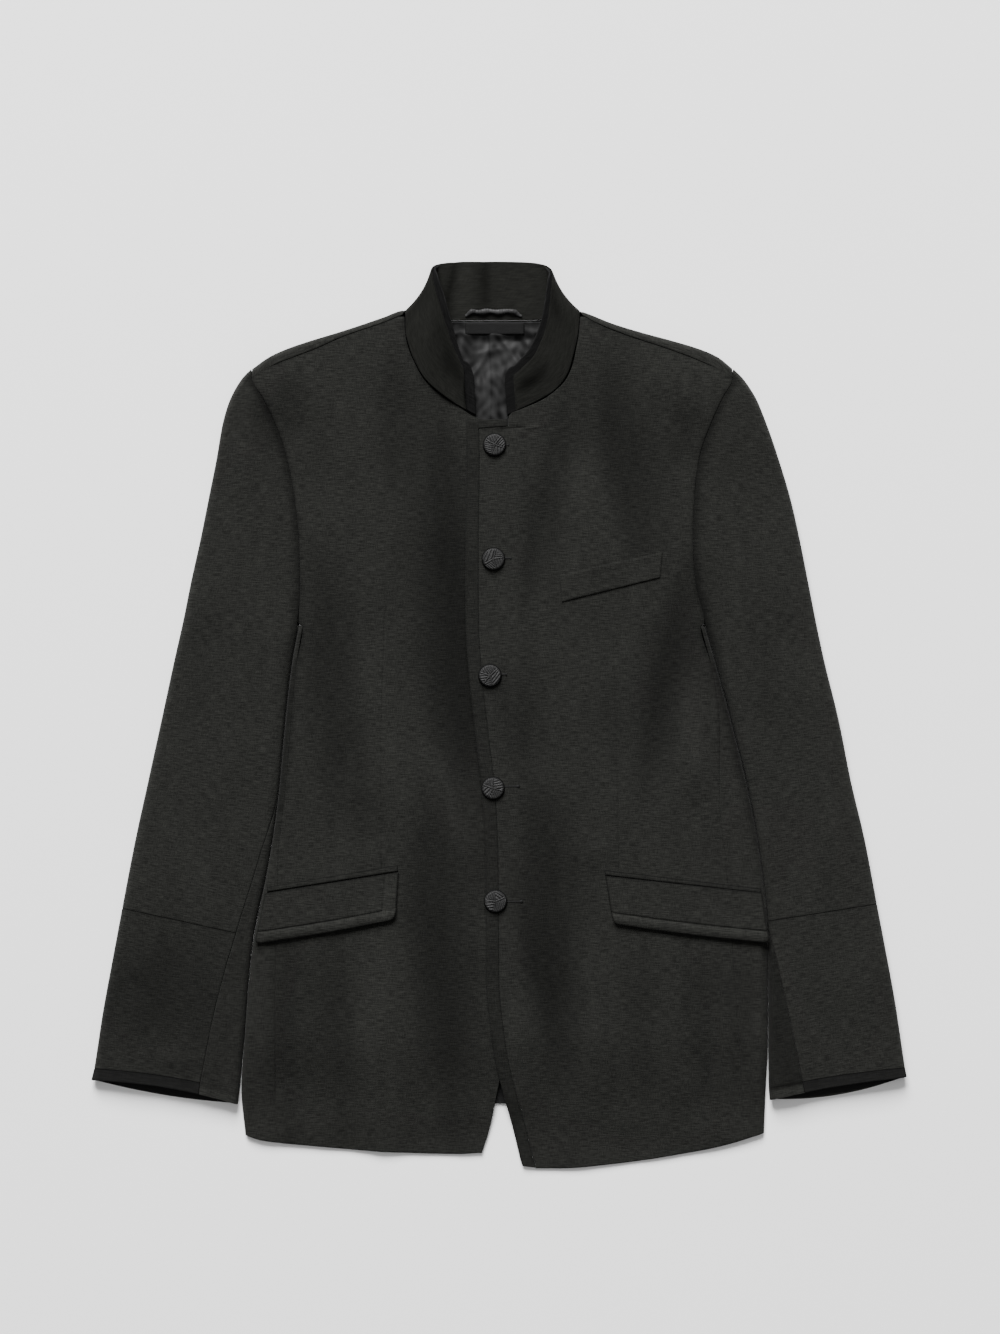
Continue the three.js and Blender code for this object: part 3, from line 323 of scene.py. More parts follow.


# Puts a mesh into the scene, with its weave map, its tone (painted shade and highlight), its looks and smooth
# faces
def makePiece(name, kind, points, faces, weaveAt, looks, lookIndex, shade=None):
    mesh = bpy.data.meshes.new(f"{name}_{kind}")
    mesh.from_pydata((points * metre).tolist(), [], faces)
    corners = np.zeros(len(mesh.loops), np.int32)
    mesh.loops.foreach_get("vertex_index", corners)
    weave = mesh.uv_layers.new(name="weave")
    weave.data.foreach_set("uv", (weaveAt * metre)[corners].astype(np.float32).ravel())
    if shade is not None:
        tone = mesh.attributes.new("hollow", "FLOAT", "POINT")
        tone.data.foreach_set("value", shade.astype(np.float32))
    for look in looks:
        mesh.materials.append(look)
    mesh.polygons.foreach_set("use_smooth", np.ones(len(mesh.polygons), bool))
    mesh.polygons.foreach_set("material_index", lookIndex.astype(np.int32))
    mesh.update()
    mesh.validate()
    made[name] = bpy.data.objects.new(f"{name}_{kind}", mesh)
    bpy.context.scene.collection.objects.link(made[name])


# A closed wall: one grid of points for its outer face, one for its inner face, and a rim that joins
# their borders. grain holds each point's place along and across the weave, and lookOf the looks of
# the outer face, the inner face and the rim.
def makeShell(name, outer, inner, looks, grain=None, lookOf=None, shade=None):
    rows, columns = outer.shape[:2]
    half = rows * columns
    index = np.arange(half).reshape(rows, columns)
    face = stack(index[:-1, :-1], index[1:, :-1], index[1:, 1:], index[:-1, 1:]).reshape(-1, 4)
    ring = np.concatenate([index[:-1, 0], index[-1, :-1], index[:0:-1, -1], index[0, :0:-1]])
    after = np.roll(ring, -1)
    quads = np.concatenate([face, face[:, ::-1] + half, stack(after, ring, ring + half, after + half)])
    points = np.concatenate([outer.reshape(-1, 3), inner.reshape(-1, 3)])
    if volumeInside(points, quads) < 0:
        quads = quads[:, ::-1]
    outside, inside, rim = lookOf or (0, len(looks) - 1, 0)
    cells = (rows - 1, columns - 1)
    lookIndex = np.concatenate([np.broadcast_to(outside, cells).ravel(), np.broadcast_to(inside, cells).ravel(),
                                np.full(len(ring), rim)])
    weaveAt = np.tile((outer[..., :2] if grain is None else grain).reshape(-1, 2), (2, 1))
    if shade is not None:
        shade = np.tile(np.broadcast_to(shade, (rows, columns)).ravel(), 2)
    makePiece(name, "cloth", points, quads.tolist(), weaveAt, looks, lookIndex, shade)


# A solid rod: rings of points along a path, closed at both ends by a middle point. The last rings
# may take the second look; the buttons paint a shadow ring with them.
def makeRod(name, rings, looks, darkRings=0):
    count, around = rings.shape[:2]
    index = np.arange(count * around).reshape(count, around)
    after = np.roll(index, -1, axis=1)
    quads = stack(index[:-1], after[:-1], after[1:], index[1:]).reshape(-1, 4)
    caps = np.concatenate([stack(index[0], after[0], count * around)[:, ::-1],
                           stack(index[-1], after[-1], count * around + 1)])
    points = np.concatenate([rings.reshape(-1, 3), rings[0].mean(axis=0)[None], rings[-1].mean(axis=0)[None]])
    if volumeInside(points, quads) < 0:
        quads, caps = quads[:, ::-1], caps[:, ::-1]
    lookIndex = np.zeros(len(quads) + len(caps))
    lookIndex[(count - 1 - darkRings) * around: (count - 1) * around] = 1 if darkRings else 0
    makePiece(name, "thread", points, quads.tolist() + caps.tolist(), points[:, :2], looks, lookIndex)


# A tube of one radius round a path, its sides set square to the path
def tubeRound(path, radius, around, flatten=1.0):
    ahead = np.gradient(path, axis=0)
    ahead = ahead / np.linalg.norm(ahead, axis=1, keepdims=True)
    aside = np.cross(ahead, (0.0, 0.0, 1.0))
    aside = aside / np.maximum(np.linalg.norm(aside, axis=1, keepdims=True), 1e-9)
    over = np.cross(aside, ahead)
    angle = np.linspace(0, 2 * np.pi, around + 1)[None, :-1, None]
    spokes = np.cos(angle) * aside[:, None] + flatten * np.sin(angle) * over[:, None]
    return path[:, None] + np.broadcast_to(radius, (len(path),))[:, None, None] * spokes


# Materials

# What a new material is made with: a node and its inputs, arithmetic, and the finish, which takes
# the piece's tone, its painted shade and painted highlight, off the colour, bumps the surface and sets
# what is the same all over
def nodeKit(name):
    look = bpy.data.materials.new(name)
    look.use_nodes = True
    tree = look.node_tree

    def fill(target, inputs):
        for key, value in inputs.items():
            if isinstance(value, bpy.types.NodeSocket):
                tree.links.new(value, target.inputs[key])
            else:
                target.inputs[key].default_value = value

    def node(kind, inputs, out=0, **settings):
        added = tree.nodes.new("ShaderNode" + kind)
        for key, value in settings.items():
            setattr(added, key, value)
        fill(added, inputs)
        return added.outputs[out]

    def math(kind, *values):
        return node("Math", dict(enumerate(values)), operation=kind)

    def finish(colour, height, strength, distance, fixed):
        kept = math("SUBTRACT", 1.0, node("Attribute", {}, "Fac", attribute_name="hollow"))
        shaded = node("VectorMath", {0: colour, "Scale": kept}, operation="SCALE")
        bump = node("Bump", {"Height": height, "Strength": strength, "Distance": distance * metre})
        fill(tree.nodes["Principled BSDF"], {"Base Color": shaded, "Normal": bump, **fixed})
        return look

    return node, math, finish


def grey(level, tint=(1, 1, 1)):
    return tuple(level * share for share in tint) + (1,)


# Noise in two directions, stretched by so much and moved by a seed
def noiseOn(node, where, stretch, detail, seed=0.0, roughness=0.5):
    placed = node("Mapping", {"Vector": where, "Scale": (*stretch, 1), "Location": (seed, seed, 0)})
    return node("TexNoise", {"Vector": placed, "Scale": 1.0, "Detail": detail, "Roughness": roughness}, "Fac",
                noise_dimensions="2D")


def mixedColour(node, share, dark, light):
    return node("Mix", {"Factor": share, "A": dark, "B": light}, "Result", data_type="RGBA")


# Shares of the weave's parts in its tone, and the tones where it is darkest and lightest
weaveShares = {"across": 0.62, "down": 0.38, "patches": 0.10, "cross": 0.06, "from": 0.36, "to": 0.66}


# Woven cloth: crossing threads, slubs stretched along both of them, and broad soft patches.
# All is in the piece's own weave map, in millimetres, so it follows folds and sleeves.
def wovenLook(name, dark, light, tint, thread, slub, sheen, roughness, bumpHeight, gloss):
    node, math, finish = nodeKit(name)
    weave = node("UVMap", {}, "UV", uv_map="weave")
    scaled = node("VectorMath", {0: weave, 1: (1000, 1000, 1000)}, operation="MULTIPLY")

    def streaks(stretch, detail, seed):
        return noiseOn(node, scaled, stretch, detail, seed, 0.6)

    def threads(axis, seed):
        part = node("SeparateXYZ", {0: scaled}, axis)
        wobble = math("MULTIPLY", streaks((0.35, 0.35), 2, seed), 2.2)
        return math("SINE", math("MULTIPLY_ADD", part, 2 * np.pi / thread, wobble))

    across = streaks((1 / (slub * 15), 1 / (slub * 1.25)), 1.5, 3.1)
    down = streaks((1 / slub, 1 / (slub * 10)), 1.5, 8.7)
    cross = math("MULTIPLY", threads(0, 1.3), threads(1, 5.9))
    patches = math("SUBTRACT", streaks((1 / 34, 1 / 46), 3, 12.4), 0.5)
    slubs = math("MULTIPLY_ADD", across, weaveShares["across"], math("MULTIPLY", down, weaveShares["down"]))
    tone = math("MULTIPLY_ADD", patches, weaveShares["patches"], slubs)
    tone = math("MULTIPLY_ADD", cross, weaveShares["cross"], tone)
    share = node("MapRange", {"Value": tone, "From Min": weaveShares["from"], "From Max": weaveShares["to"]})
    relief = math("MULTIPLY_ADD", cross, 0.35, slubs)
    return finish(mixedColour(node, share, grey(dark, tint), grey(light, tint)), relief, 0.8, bumpHeight,
                  {"Roughness": roughness, "Specular IOR Level": gloss, "Sheen Weight": sheen,
                   "Sheen Roughness": 0.45, "Sheen Tint": (0.9, 0.9, 0.88, 1)})


# Satin: fine ribs across a glossy ground
def satinLook(name, dark, light, roughness):
    node, math, finish = nodeKit(name)
    weave = node("UVMap", {}, "UV", uv_map="weave")
    ribs = noiseOn(node, weave, (180, 1500), 2.0)
    cloud = noiseOn(node, weave, (60, 45), 3.0)
    return finish(mixedColour(node, cloud, grey(dark), grey(light)), ribs, 0.25, 0.15,
                  {"Roughness": roughness, "Specular IOR Level": 0.06, "Anisotropic": 0.5})


greenish, plain = (0.985, 1.0, 0.90), (1.0, 1.0, 1.0)
# Darkest and lightest, tint, thread and slub spacing, sheen, roughness, bump height and gloss
weaves = {
    "slubbed wool": (0.0058, 0.0164, greenish, 0.80, 0.62, 0.03, 0.9, 0.26, 0.06),
    # A darker copy of the wool for the front band: painted shade
    "slubbed wool, darkened as painted shade": (0.0044, 0.0120, greenish, 0.80, 0.62, 0.03, 0.9, 0.26, 0.06),
    # The collar's wool has its own slub and bump, and is darker as painted shade of the collar's slopes
    "brushed collar wool, darkened as painted shade": (0.0064, 0.0106, greenish, 0.80, 0.8, 0.02, 0.9, 0.14, 0.0),
    # Near-black cloth that paints shade: the inner collar's proud edge and facings, and the shadow ring under
    # the buttons
    "dark cloth for painted shade": (0.0038, 0.0064, plain, 0.6, 0.9, 0.0, 0.95, 0.10, 0.0),
    "cuff edge": (0.0050, 0.0084, (1.0, 1.0, 0.97), 0.6, 0.9, 0.0, 0.9, 0.10, 0.05),
    # The lining inside the pieces, much darker than the lining satin: the lining, darkened as painted shade of
    # the jacket's inside
    "dark body lining": (0.0038, 0.0064, plain, 0.5, 0.8, 0.0, 0.6, 0.05, 0.1),
    "button thread": (0.005, 0.016, plain, 0.45, 0.4, 0.04, 0.5, 0.12, 0.2),
    "plain label": (0.0035, 0.0055, plain, 0.5, 0.7, 0.0, 0.8, 0.1, 0.1),
}
wool, bandWool, collarWool, paintedShadeCloth, cuffEdge, bodyLining, buttonThread, labelCloth = (
    wovenLook(name, *values) for name, values in weaves.items())
# The inside faces take the dark lining, painted shade of the jacket's inside
lined = [wool, bodyLining]      # wool outside, lining inside
satin = satinLook("grey lining satin", 0.004, 0.022, 0.5)
cordSatin = satinLook("loop satin", 0.004, 0.05, 0.36)
print("materials made")

# Fronts

darts = {
    "left": table("y x", [(112, -103.2), (78, -104.9), (-60, -107.9), (-142, -107.2)]),
    "right": table("y x", [(80, 104.4), (66, 104.9), (-44, 108.6), (-144, 110.3)]),
    "depth": 0.6,
    "width": 0.8,
    "fade": 26,
}
fronts = {"seamRound": 1.2, "seamDepth": 0.75, "bandSeam": 0.8, "edgeRound": 1.3, "paintedSeamShade": 0.28,
          "flatterBelow": (90, 8, 0.55), "flatterAbove": (255, 12, 0.5)}      # place, fade and share


# Relief of a dart: a groove along its line, deepening from its point
def dartGroove(x, y, line, dart):
    start, end = dart["y"][0], dart["y"][-1]
    inside = ease((start - y) / darts["fade"]) * (y > end - 1)
    offset = np.abs(x - line(y))
    return darts["depth"] * inside * bell(offset / darts["width"])


# A panel between two lines, with its dart between them; the over front also has a seam to the band
def makeFront(name, leftLine, rightLine, dart, rows, counts, over):
    def dartLine(y):
        return curve(dart["y"], dart["x"], y)

    def linesAt(y):
        left, right = curve(*leftLine, y) + seamOpen / 2, curve(*rightLine, y) - seamOpen / 2
        middle = np.clip(dartLine(y), left + 0.15 * (right - left), right - 0.15 * (right - left))
        return np.stack([left, middle, right])

    x, y = panelPlaces(rows, linesAt, columnsFor(counts))
    left, right = linesAt(y)[[0, -1]]
    seam = right - x if over else np.minimum(x - left, right - x)
    (low, lowFade, lowShare), (high, highFade, highShare) = fronts["flatterBelow"], fronts["flatterAbove"]
    strength = 1 - lowShare * ease((low - y) / lowFade) - highShare * ease((y - high) / highFade)
    drop = sunk(seam, fronts["seamRound"], fronts["seamDepth"] * strength)
    if over:
        drop = drop + sunk(x - left, fronts["seamRound"], fronts["seamDepth"] * fronts["bandSeam"])
    level = overLay(x, y) if over else lay(x, y)
    turned = sunk(y - hemAt(x), fronts["edgeRound"], 1.0)
    outer = stack(x, y, level - np.maximum(drop, turned) - dartGroove(x, y, dartLine, dart))
    # Painted shade along the seams, fading out downwards below the waist, added to the painted fold shading
    paintedSeamShade = fronts["paintedSeamShade"] * bell(seam / 2.5) * ease((y + 90) / 60)
    makeShell(name, outer, stack(x, y, level - cloth + turned), lined,
              shade=hollow(x, y, overRest if over else 1.0) + paintedSeamShade)


def sideLine(which, underarmX):
    return joined((shoulderSeams["y"], shoulderSeams[which]), (armholes["y"][1:7], armholes[which][1:7]),
                  ([84.0], [underarmX]), (sides["y"], sides[which + "Seam"]))


underInner = joined((underNeckline["y"], underNeckline["x"]), (underEdge["y"][1:], underEdge["x"][1:]))
overInner = joined((overNeckline["y"], overNeckline["x"]), (bandLine["y"][1:], bandLine["x"][1:]))
makeFront("front_under", sideLine("left", -183.6), underInner, darts["left"],
          rowsThrough([365, 308, 265, 84, 81.8, -403], panelStep), (28, 44), False)
makeFront("front_over", overInner, sideLine("right", 188.4), darts["right"],
          rowsThrough([365, 308, 264.4, 262.2, 84, 81.8, -416], panelStep), (44, 28), True)
print("fronts made")

# The strip along the over front's edge, with its tab at the neck

band = {"width": 12, "round": 0.8, "turn": 250, "tabRight": 8, "tabTop": 271.2, "tabBottom": 264.6,
        "cornerOuter": (-30.4, 270.6), "cornerInner": (-18.5, 262.6)}


# Cross rows between an outer and an inner line: along the tab, round its corner and down the edge
def makeFrontBand():
    share = np.linspace(0, 1, 20)
    down = np.linspace(0, 1, 8)[1:]
    rows = rowsThrough([band["turn"], -416], panelStep)[1:]
    line = curve(bandLine["y"], bandLine["x"], rows) - seamOpen
    start = curve(bandLine["y"], bandLine["x"], band["turn"]) - seamOpen

    def edgeLine(tabY, corner, offset, lift):
        x = [mix(band["tabRight"], corner[0], share), mix(corner[0], start - offset, down), line - offset]
        y = [mix(tabY, corner[1], share), mix(corner[1], band["turn"], down), rows + lift]
        return np.concatenate(x), np.concatenate(y)

    outerX, outerY = edgeLine(band["tabTop"], band["cornerOuter"], band["width"], 1.6 * ease((rows + 408) / -8))
    innerX, innerY = edgeLine(band["tabBottom"], band["cornerInner"], 0, 0)
    inset = np.array([0, 0.12, 0.35, 0.7, 1.1, 1.8]) / band["width"]
    shares = np.concatenate([inset, np.linspace(inset[-1], 1 - inset[-1], 6)[1:-1], 1 - inset[::-1]])
    x = mix(outerX[:, None], innerX[:, None], shares)
    y = mix(outerY[:, None], innerY[:, None], shares)
    width = np.hypot(outerX - innerX, outerY - innerY)[:, None]
    outward, inward = shares * width, (1 - shares) * width
    level = overLay(x, y) + 0.35 * np.sin(np.pi * shares)
    foldEdge = sunk(outward, band["round"], 1.05)
    ends = np.zeros((len(x), 1))
    ends[[0, -1]] = 0.8
    # Painted shade: a dark line along the band's folded outer edge and one along its seam; the band's wool is
    # also the darkened copy
    makeShell("front_band", stack(x, y, level - foldEdge - sunk(inward, 1.0, 0.6) - ends),
              stack(x, y, level - cloth + foldEdge), [bandWool],
              shade=0.35 * bell(outward / 0.9) + 0.25 * bell(inward / 0.8))


makeFrontBand()


# Cloth that goes round a fold, in distances inwards from the fold's outermost line: close columns
# at the seam, on to the rounding, half round, and back underneath. Gives distances and heights of
# its outer and inner points.
def foldedCloth(heightAt, radius, topReach, bottomReach, thickness, steps, squeeze=0.0, seamRound=1.3,
                seamDepth=1.0):
    topSteps, arcSteps, bottomSteps = steps
    flatWidth = topReach - radius
    beside = topReach - np.minimum(near[None, :-1], 0.2 * np.maximum(flatWidth, 0.01))
    flat = np.linspace(0, 1, topSteps + 1)[None, :-1]
    topDistance = np.concatenate([beside, mix(topReach - np.minimum(near[-1], 0.3 * flatWidth), radius, flat)],
                                 axis=1)
    level, tall = heightAt(topDistance), heightAt(radius) / 2
    turned = sunk(topReach - topDistance, seamRound, seamDepth)
    angle = np.linspace(0, np.pi, arcSteps + 1)[None, :]
    innerWide, innerTall = np.maximum(radius - thickness, 0.2), np.maximum(tall - thickness, 0.2)
    bottomDistance = mix(radius, bottomReach, np.linspace(0, 1, bottomSteps + 1)[None, 1:])

    def layer(top, wide, high, bottom):
        below = np.full(bottomDistance.shape, bottom)
        return (np.concatenate([topDistance, radius - wide * np.sin(angle), bottomDistance], axis=1),
                np.concatenate([top, tall + high * np.cos(angle), below], axis=1))

    return (layer(level - turned - squeeze, radius - squeeze, tall - squeeze, 0.0),
            layer(level - thickness - 0.9 * turned, innerWide, innerTall, thickness))


# Side panels: cloth round the side folds, its rows bent to the hem

sidePanel = {"top": 82, "bottom": -386, "topDip": 0.15, "seamDepth": 0.35, "paintedCreviceShade": 0.5, "crevice": 7}


def makeSidePanel(name, edge, seam, inwards):
    rows = rowsThrough([sidePanel["top"], sidePanel["bottom"]], panelStep)[:, None]
    foldLine, seamLine, bend, under = (curve(sides["y"], sides[column], rows)
                                       for column in (edge, seam, "round", "under"))
    reach = np.abs(seamLine - foldLine) - seamOpen / 2
    radius = np.minimum(bend, reach - 0.3)
    under = np.maximum(under, radius + 0.2)
    topDip = sidePanel["topDip"] * ease((rows - 60) / 22)

    def place(distance):
        y = towardsHem(foldLine + inwards * distance, rows, rows[-1], hemAt)
        return curve(sides["y"], sides[edge], y) + inwards * distance, y

    def heightAt(distance):
        return np.maximum(lay(*place(distance)) - topDip, 2 * cloth + 1)

    outer, inner = foldedCloth(heightAt, radius, reach, under, cloth, (9, 16, 5),
                               seamDepth=sidePanel["seamDepth"])
    edgeTurn = sunk(rows - rows[-1], 1.2, 0.9) * np.sign(outer[1] - inner[1])
    outerPoints = stack(*place(outer[0]), outer[1] - np.maximum(edgeTurn, 0))
    innerPoints = stack(*place(inner[0]), inner[1] + np.maximum(edgeTurn, 0))
    grain = stack(foldLine + inwards * (reach - runAlong(outerPoints, 1)), outerPoints[..., 1])
    # Painted shade in the crevice between body and sleeve: darkest at the fold, over the middle of the side's
    # length, added to the painted fold shading
    alongSide = ease((rows + 170) / 120) * (1 - 0.85 * ease((rows - 35) / 30))
    paintedCreviceShade = sidePanel["paintedCreviceShade"] * bell(outer[0] / sidePanel["crevice"]) * alongSide
    makeShell(name, outerPoints, innerPoints, lined, grain,
              shade=hollow(outerPoints[..., 0], outerPoints[..., 1]) + paintedCreviceShade)


makeSidePanel("side_left", "leftFold", "leftSeam", 1)
makeSidePanel("side_right", "rightFold", "rightSeam", -1)
print("sides made")

# Back: flat on the table, rolled over the shoulders to the shoulder seams

back = {
    "round": 6,
    "neckRound": 4,
    "neckline": 362.3,
    "seamGap": 0.6,
    "roll": table("x turn", [
        (-226, 180), (-88.5, 180), (-86.7, 100), (-79, 70), (-67, 40), (-45, 0), (34, 0), (56, 40),
        (67, 70), (74.7, 100), (76.5, 180), (213.5, 180),
    ]),
}


def makeBack():
    marks = [-226, -201.5, -168.4, -139.8, -109.5, -88.5, -86.7, -79, -67, -45, 34, 56, 67, 74.7, 76.5, 91,
             117, 155, 188, 213.5]
    x = rowsThrough(marks, 4.5, close=None)
    leftLine = joined((armholes["y"][:7], armholes["left"][:7]),
                      (sides["y"], sides["leftFold"] + sides["under"]))
    rightLine = joined((armholes["y"][:7], armholes["right"][:7]),
                       (sides["y"], sides["rightFold"] - sides["under"]))

    def linesAt(y):
        return np.stack([curve(*leftLine, y) + back["seamGap"], curve(*rightLine, y) - back["seamGap"]])

    # The flat part, from the hem up
    columns = (np.zeros(len(x), int), np.zeros(len(x)), (x - x[0]) / (x[-1] - x[0]))
    flatX, flatY = panelPlaces(rowsThrough([308, backHem["middle"]], 7)[::-1], linesAt, columns, backHemAt)

    # The roll: how far each column turns, round its own centre
    turn = np.interp(x, back["roll"]["x"], back["roll"]["turn"])
    edge = curve(shoulderEdge["x"], shoulderEdge["y"], x)
    seam = np.where(x < 0, curve(shoulderSeams["left"], shoulderSeams["y"], x),
                    curve(shoulderSeams["right"], shoulderSeams["y"], x))
    overTop, straight = turn > 179, turn < 1
    radius = np.where(overTop, np.clip(edge - seam - 0.4, back["neckRound"] - 1, back["round"]),
                      mix(back["round"], back["neckRound"], turn / 100))
    centre = edge - radius
    tall = lay(x, np.where(overTop, centre, seam)) / 2
    shoulderY = mix(308, np.where(straight, back["neckline"] - 6, centre), np.linspace(0, 1, 7)[1:, None])
    arcShare = np.linspace(0, 1, 19)[1:, None]
    arc = arcShare * np.radians(turn)
    wide, high = radius - np.minimum(cloth, 0.8 * radius), np.maximum(tall - cloth, 0.2)
    flatEnd = mix(back["neckline"] - 6, back["neckline"], arcShare)
    arcY = np.where(straight, flatEnd, centre + radius * np.sin(arc))
    arcZ = np.where(straight, 0, tall * (1 - np.cos(arc)))
    innerY = np.where(straight, flatEnd, centre + wide * np.sin(arc))
    innerZ = np.where(straight, cloth, tall - high * np.cos(arc))

    # Over the top to the shoulder seam, where the column turns that far
    topShare = np.concatenate([np.linspace(0, 1, 7)[1:-1], 1 - near[::-1] / 40])[:, None]
    seamStop = np.minimum(seam + seamGap, centre - 0.1)
    topY = np.where(overTop, mix(centre, seamStop, topShare), arcY[-1] - 0.001 * topShare)
    topZ = np.where(overTop, lay(x, topY) - sunk(topY - seamStop, 1.5, 1.1), arcZ[-1] + 0.001 * topShare)
    underY = np.where(overTop, topY, innerY[-1] - 0.001 * topShare)
    underZ = np.where(overTop, lay(x, topY) - cloth, innerZ[-1] + 0.001 * topShare)

    def layer(low, y, z):
        rolled = stack(x, np.concatenate([shoulderY, *y]), np.concatenate([np.full(shoulderY.shape, low), *z]))
        return np.concatenate([stack(flatX, flatY, low), rolled])

    outer, inner = layer(0.0, (arcY, topY), (arcZ, topZ)), layer(cloth, (innerY, underY), (innerZ, underZ))
    makeShell("back", outer, inner, lined, stack(outer[..., 0], runAlong(outer, 0)))


makeBack()
print("back made")

# Sleeves: a row for each section, across from the outer fold to the inner one; front is how far the
# front seam lies from the inner fold, on top

leftSleeve = table("outX outY inX inY front", [
    (-227.4, 317, -226, 309.4, 0), (-234.6, 310, -226, 308, 0), (-246.5, 290, -216.3, 291, 0),
    (-253.5, 268, -205.3, 268, 0), (-259.4, 235, -194.2, 235, 0), (-266.8, 198, -187.2, 198, 0),
    (-274.2, 161, -183.2, 161, 0), (-282.4, 124, -182.2, 120, 0), (-289.8, 87, -184, 82, 0.9),
    (-298.1, 50, -190.9, 43, 0.9), (-310, -5, -197.2, -14, 0.9), (-322, -60, -202.5, -72, 0.9),
    (-334, -115, -211, -132, 9), (-345.9, -177, -225.4, -203, 16), (-354.2, -221, -229.5, -239, 22.5),
    (-363.4, -271, -233.3, -290, 31), (-371.7, -324, -238.3, -346, 36), (-374.4, -335, -239.7, -357, 36),
])
rightSleeve = table("outX outY inX inY front", [
    (215, 317.2, 213.5, 309.4, 0), (222.6, 310, 213.5, 308, 0), (235.5, 291, 204.6, 291, 0),
    (245.2, 268, 194.3, 268, 0), (256.7, 235, 183.3, 235, 0), (267.7, 198, 179, 198, 0),
    (276, 161, 177.6, 161, 0), (283.4, 124, 180.3, 120, 0), (290.7, 87, 188.8, 82, 0.9),
    (298.5, 50, 200.2, 43, 0.9), (311.9, -5, 215.4, -14, 0.9), (322.9, -60, 229.4, -72, 0.9),
    (335.8, -115, 239.6, -132, 0.9), (346.8, -173, 245.8, -189, 1.2), (354.2, -212, 246.8, -228, 8.5),
    (363.4, -262, 247.2, -286, 20.5), (372.6, -323, 247.6, -342, 31), (374.4, -332, 248.4, -353, 32),
])
# The tones are painted: shade along seams, beside the armhole, over the left lower sleeve and on the under
# sleeve, and a highlight along the outer fold's rim
sleeve = {"underarm": 8, "crossSeam": 13, "cuffEdge": 16, "end": 17, "outerRound": 7, "innerRound": 5.5,
          "elbowSeam": 15, "crown": 1.6, "rowStep": 3.4, "turnUp": 8.8, "paintedSeamShade": 0.45,
          "paintedArmholeShade": 0.52, "paintedRimHighlight": 0.22, "lowerTone": 0.30,
          "underTone": {"left": 0.14, "right": 0.40}, "mouth": {"left": (5.0, 3.6), "right": (2.6, 6.8)}}


# Places along the sleeve table between two rows, with their distances from the first row and to the
# last: even steps of about one length, close at the seams
def sleevePlaces(rows, start, end, closeStart, closeEnd):
    marks = np.arange(len(rows["outX"]))
    run = runAlong(stack(rows["outX"] + rows["inX"], rows["outY"] + rows["inY"]) / 2, 0)
    first, last = np.interp([start, end], marks, run)
    even = np.linspace(first, last, max(int((last - first) / sleeve["rowStep"]), 2) + 1)
    even = even[(even > first + near[-1]) & (even < last - near[-1])]
    close = near + seamOpen / 2
    head = first + close if closeStart else np.array([first, first + near[-1]])
    tail = last - close[::-1] if closeEnd else last - near[::-1]
    spots = np.concatenate([head, even[(even > head[-1]) & (even < tail[0])], tail])
    return np.interp(spots, run, marks), spots - first, last - spots


# Points of a sleeve section from distances across it, inwards from the outer or the inner fold. At
# the mouth the upper layer bows up and the lower one down, so that it stands a little open.
def sleeveFrame(rows, at, fromOuter):
    def columnAt(name):
        return curve(np.arange(len(rows[name])), rows[name], at)[:, None]

    outX, outY, inX, inY, front = (columnAt(name) for name in rows)
    width = np.hypot(outX - inX, outY - inY)
    fromX, fromY = (outX, outY) if fromOuter else (inX, inY)
    sign = (1 if fromOuter else -1) / width
    acrossX, acrossY = sign * (inX - outX), sign * (inY - outY)
    upward, downward = sleeve["mouth"]["right" if rows["outX"][0] > 0 else "left"]
    toCuff = np.hypot(outX - rows["outX"][-1], outY - rows["outY"][-1])
    opened = ease(1 - toCuff / 46)

    def place(distance, z=None):
        x, y = fromX + acrossX * distance, fromY + acrossY * distance
        if z is not None:
            share = np.clip(distance / width, 0, 1)
            upper = np.clip((z - 4) / 3, -1, 1)
            y = y + opened * 4 * share * (1 - share) * np.where(upper > 0, upward, downward) * upper
        return x, y

    def heightAt(distance):
        share = np.clip(distance / width, 0, 1)
        crown = sleeve["crown"] * np.sin(np.pi * share) * np.clip(width / 60, 0, 1)
        return np.maximum(lay(*place(distance), onBody=False) - 0.6 + crown, 2 * sleeveCloth + 1)

    return width, front, toCuff, place, heightAt


# Where the front seam runs round the inner fold, the upper cloth bends down to meet it
def innerTurn(front, at):
    onTop = np.maximum(ease((front - 1.2) / 5), ease(sleeve["underarm"] + 0.6 - at)[:, None])
    return {"seamRound": mix(7.0, 1.3, onTop), "seamDepth": mix(4.0, 0.8, onTop)}


def sleeveGrain(across, points, column):
    return stack(across, -runAlong(points[:, column], 0)[:, None])


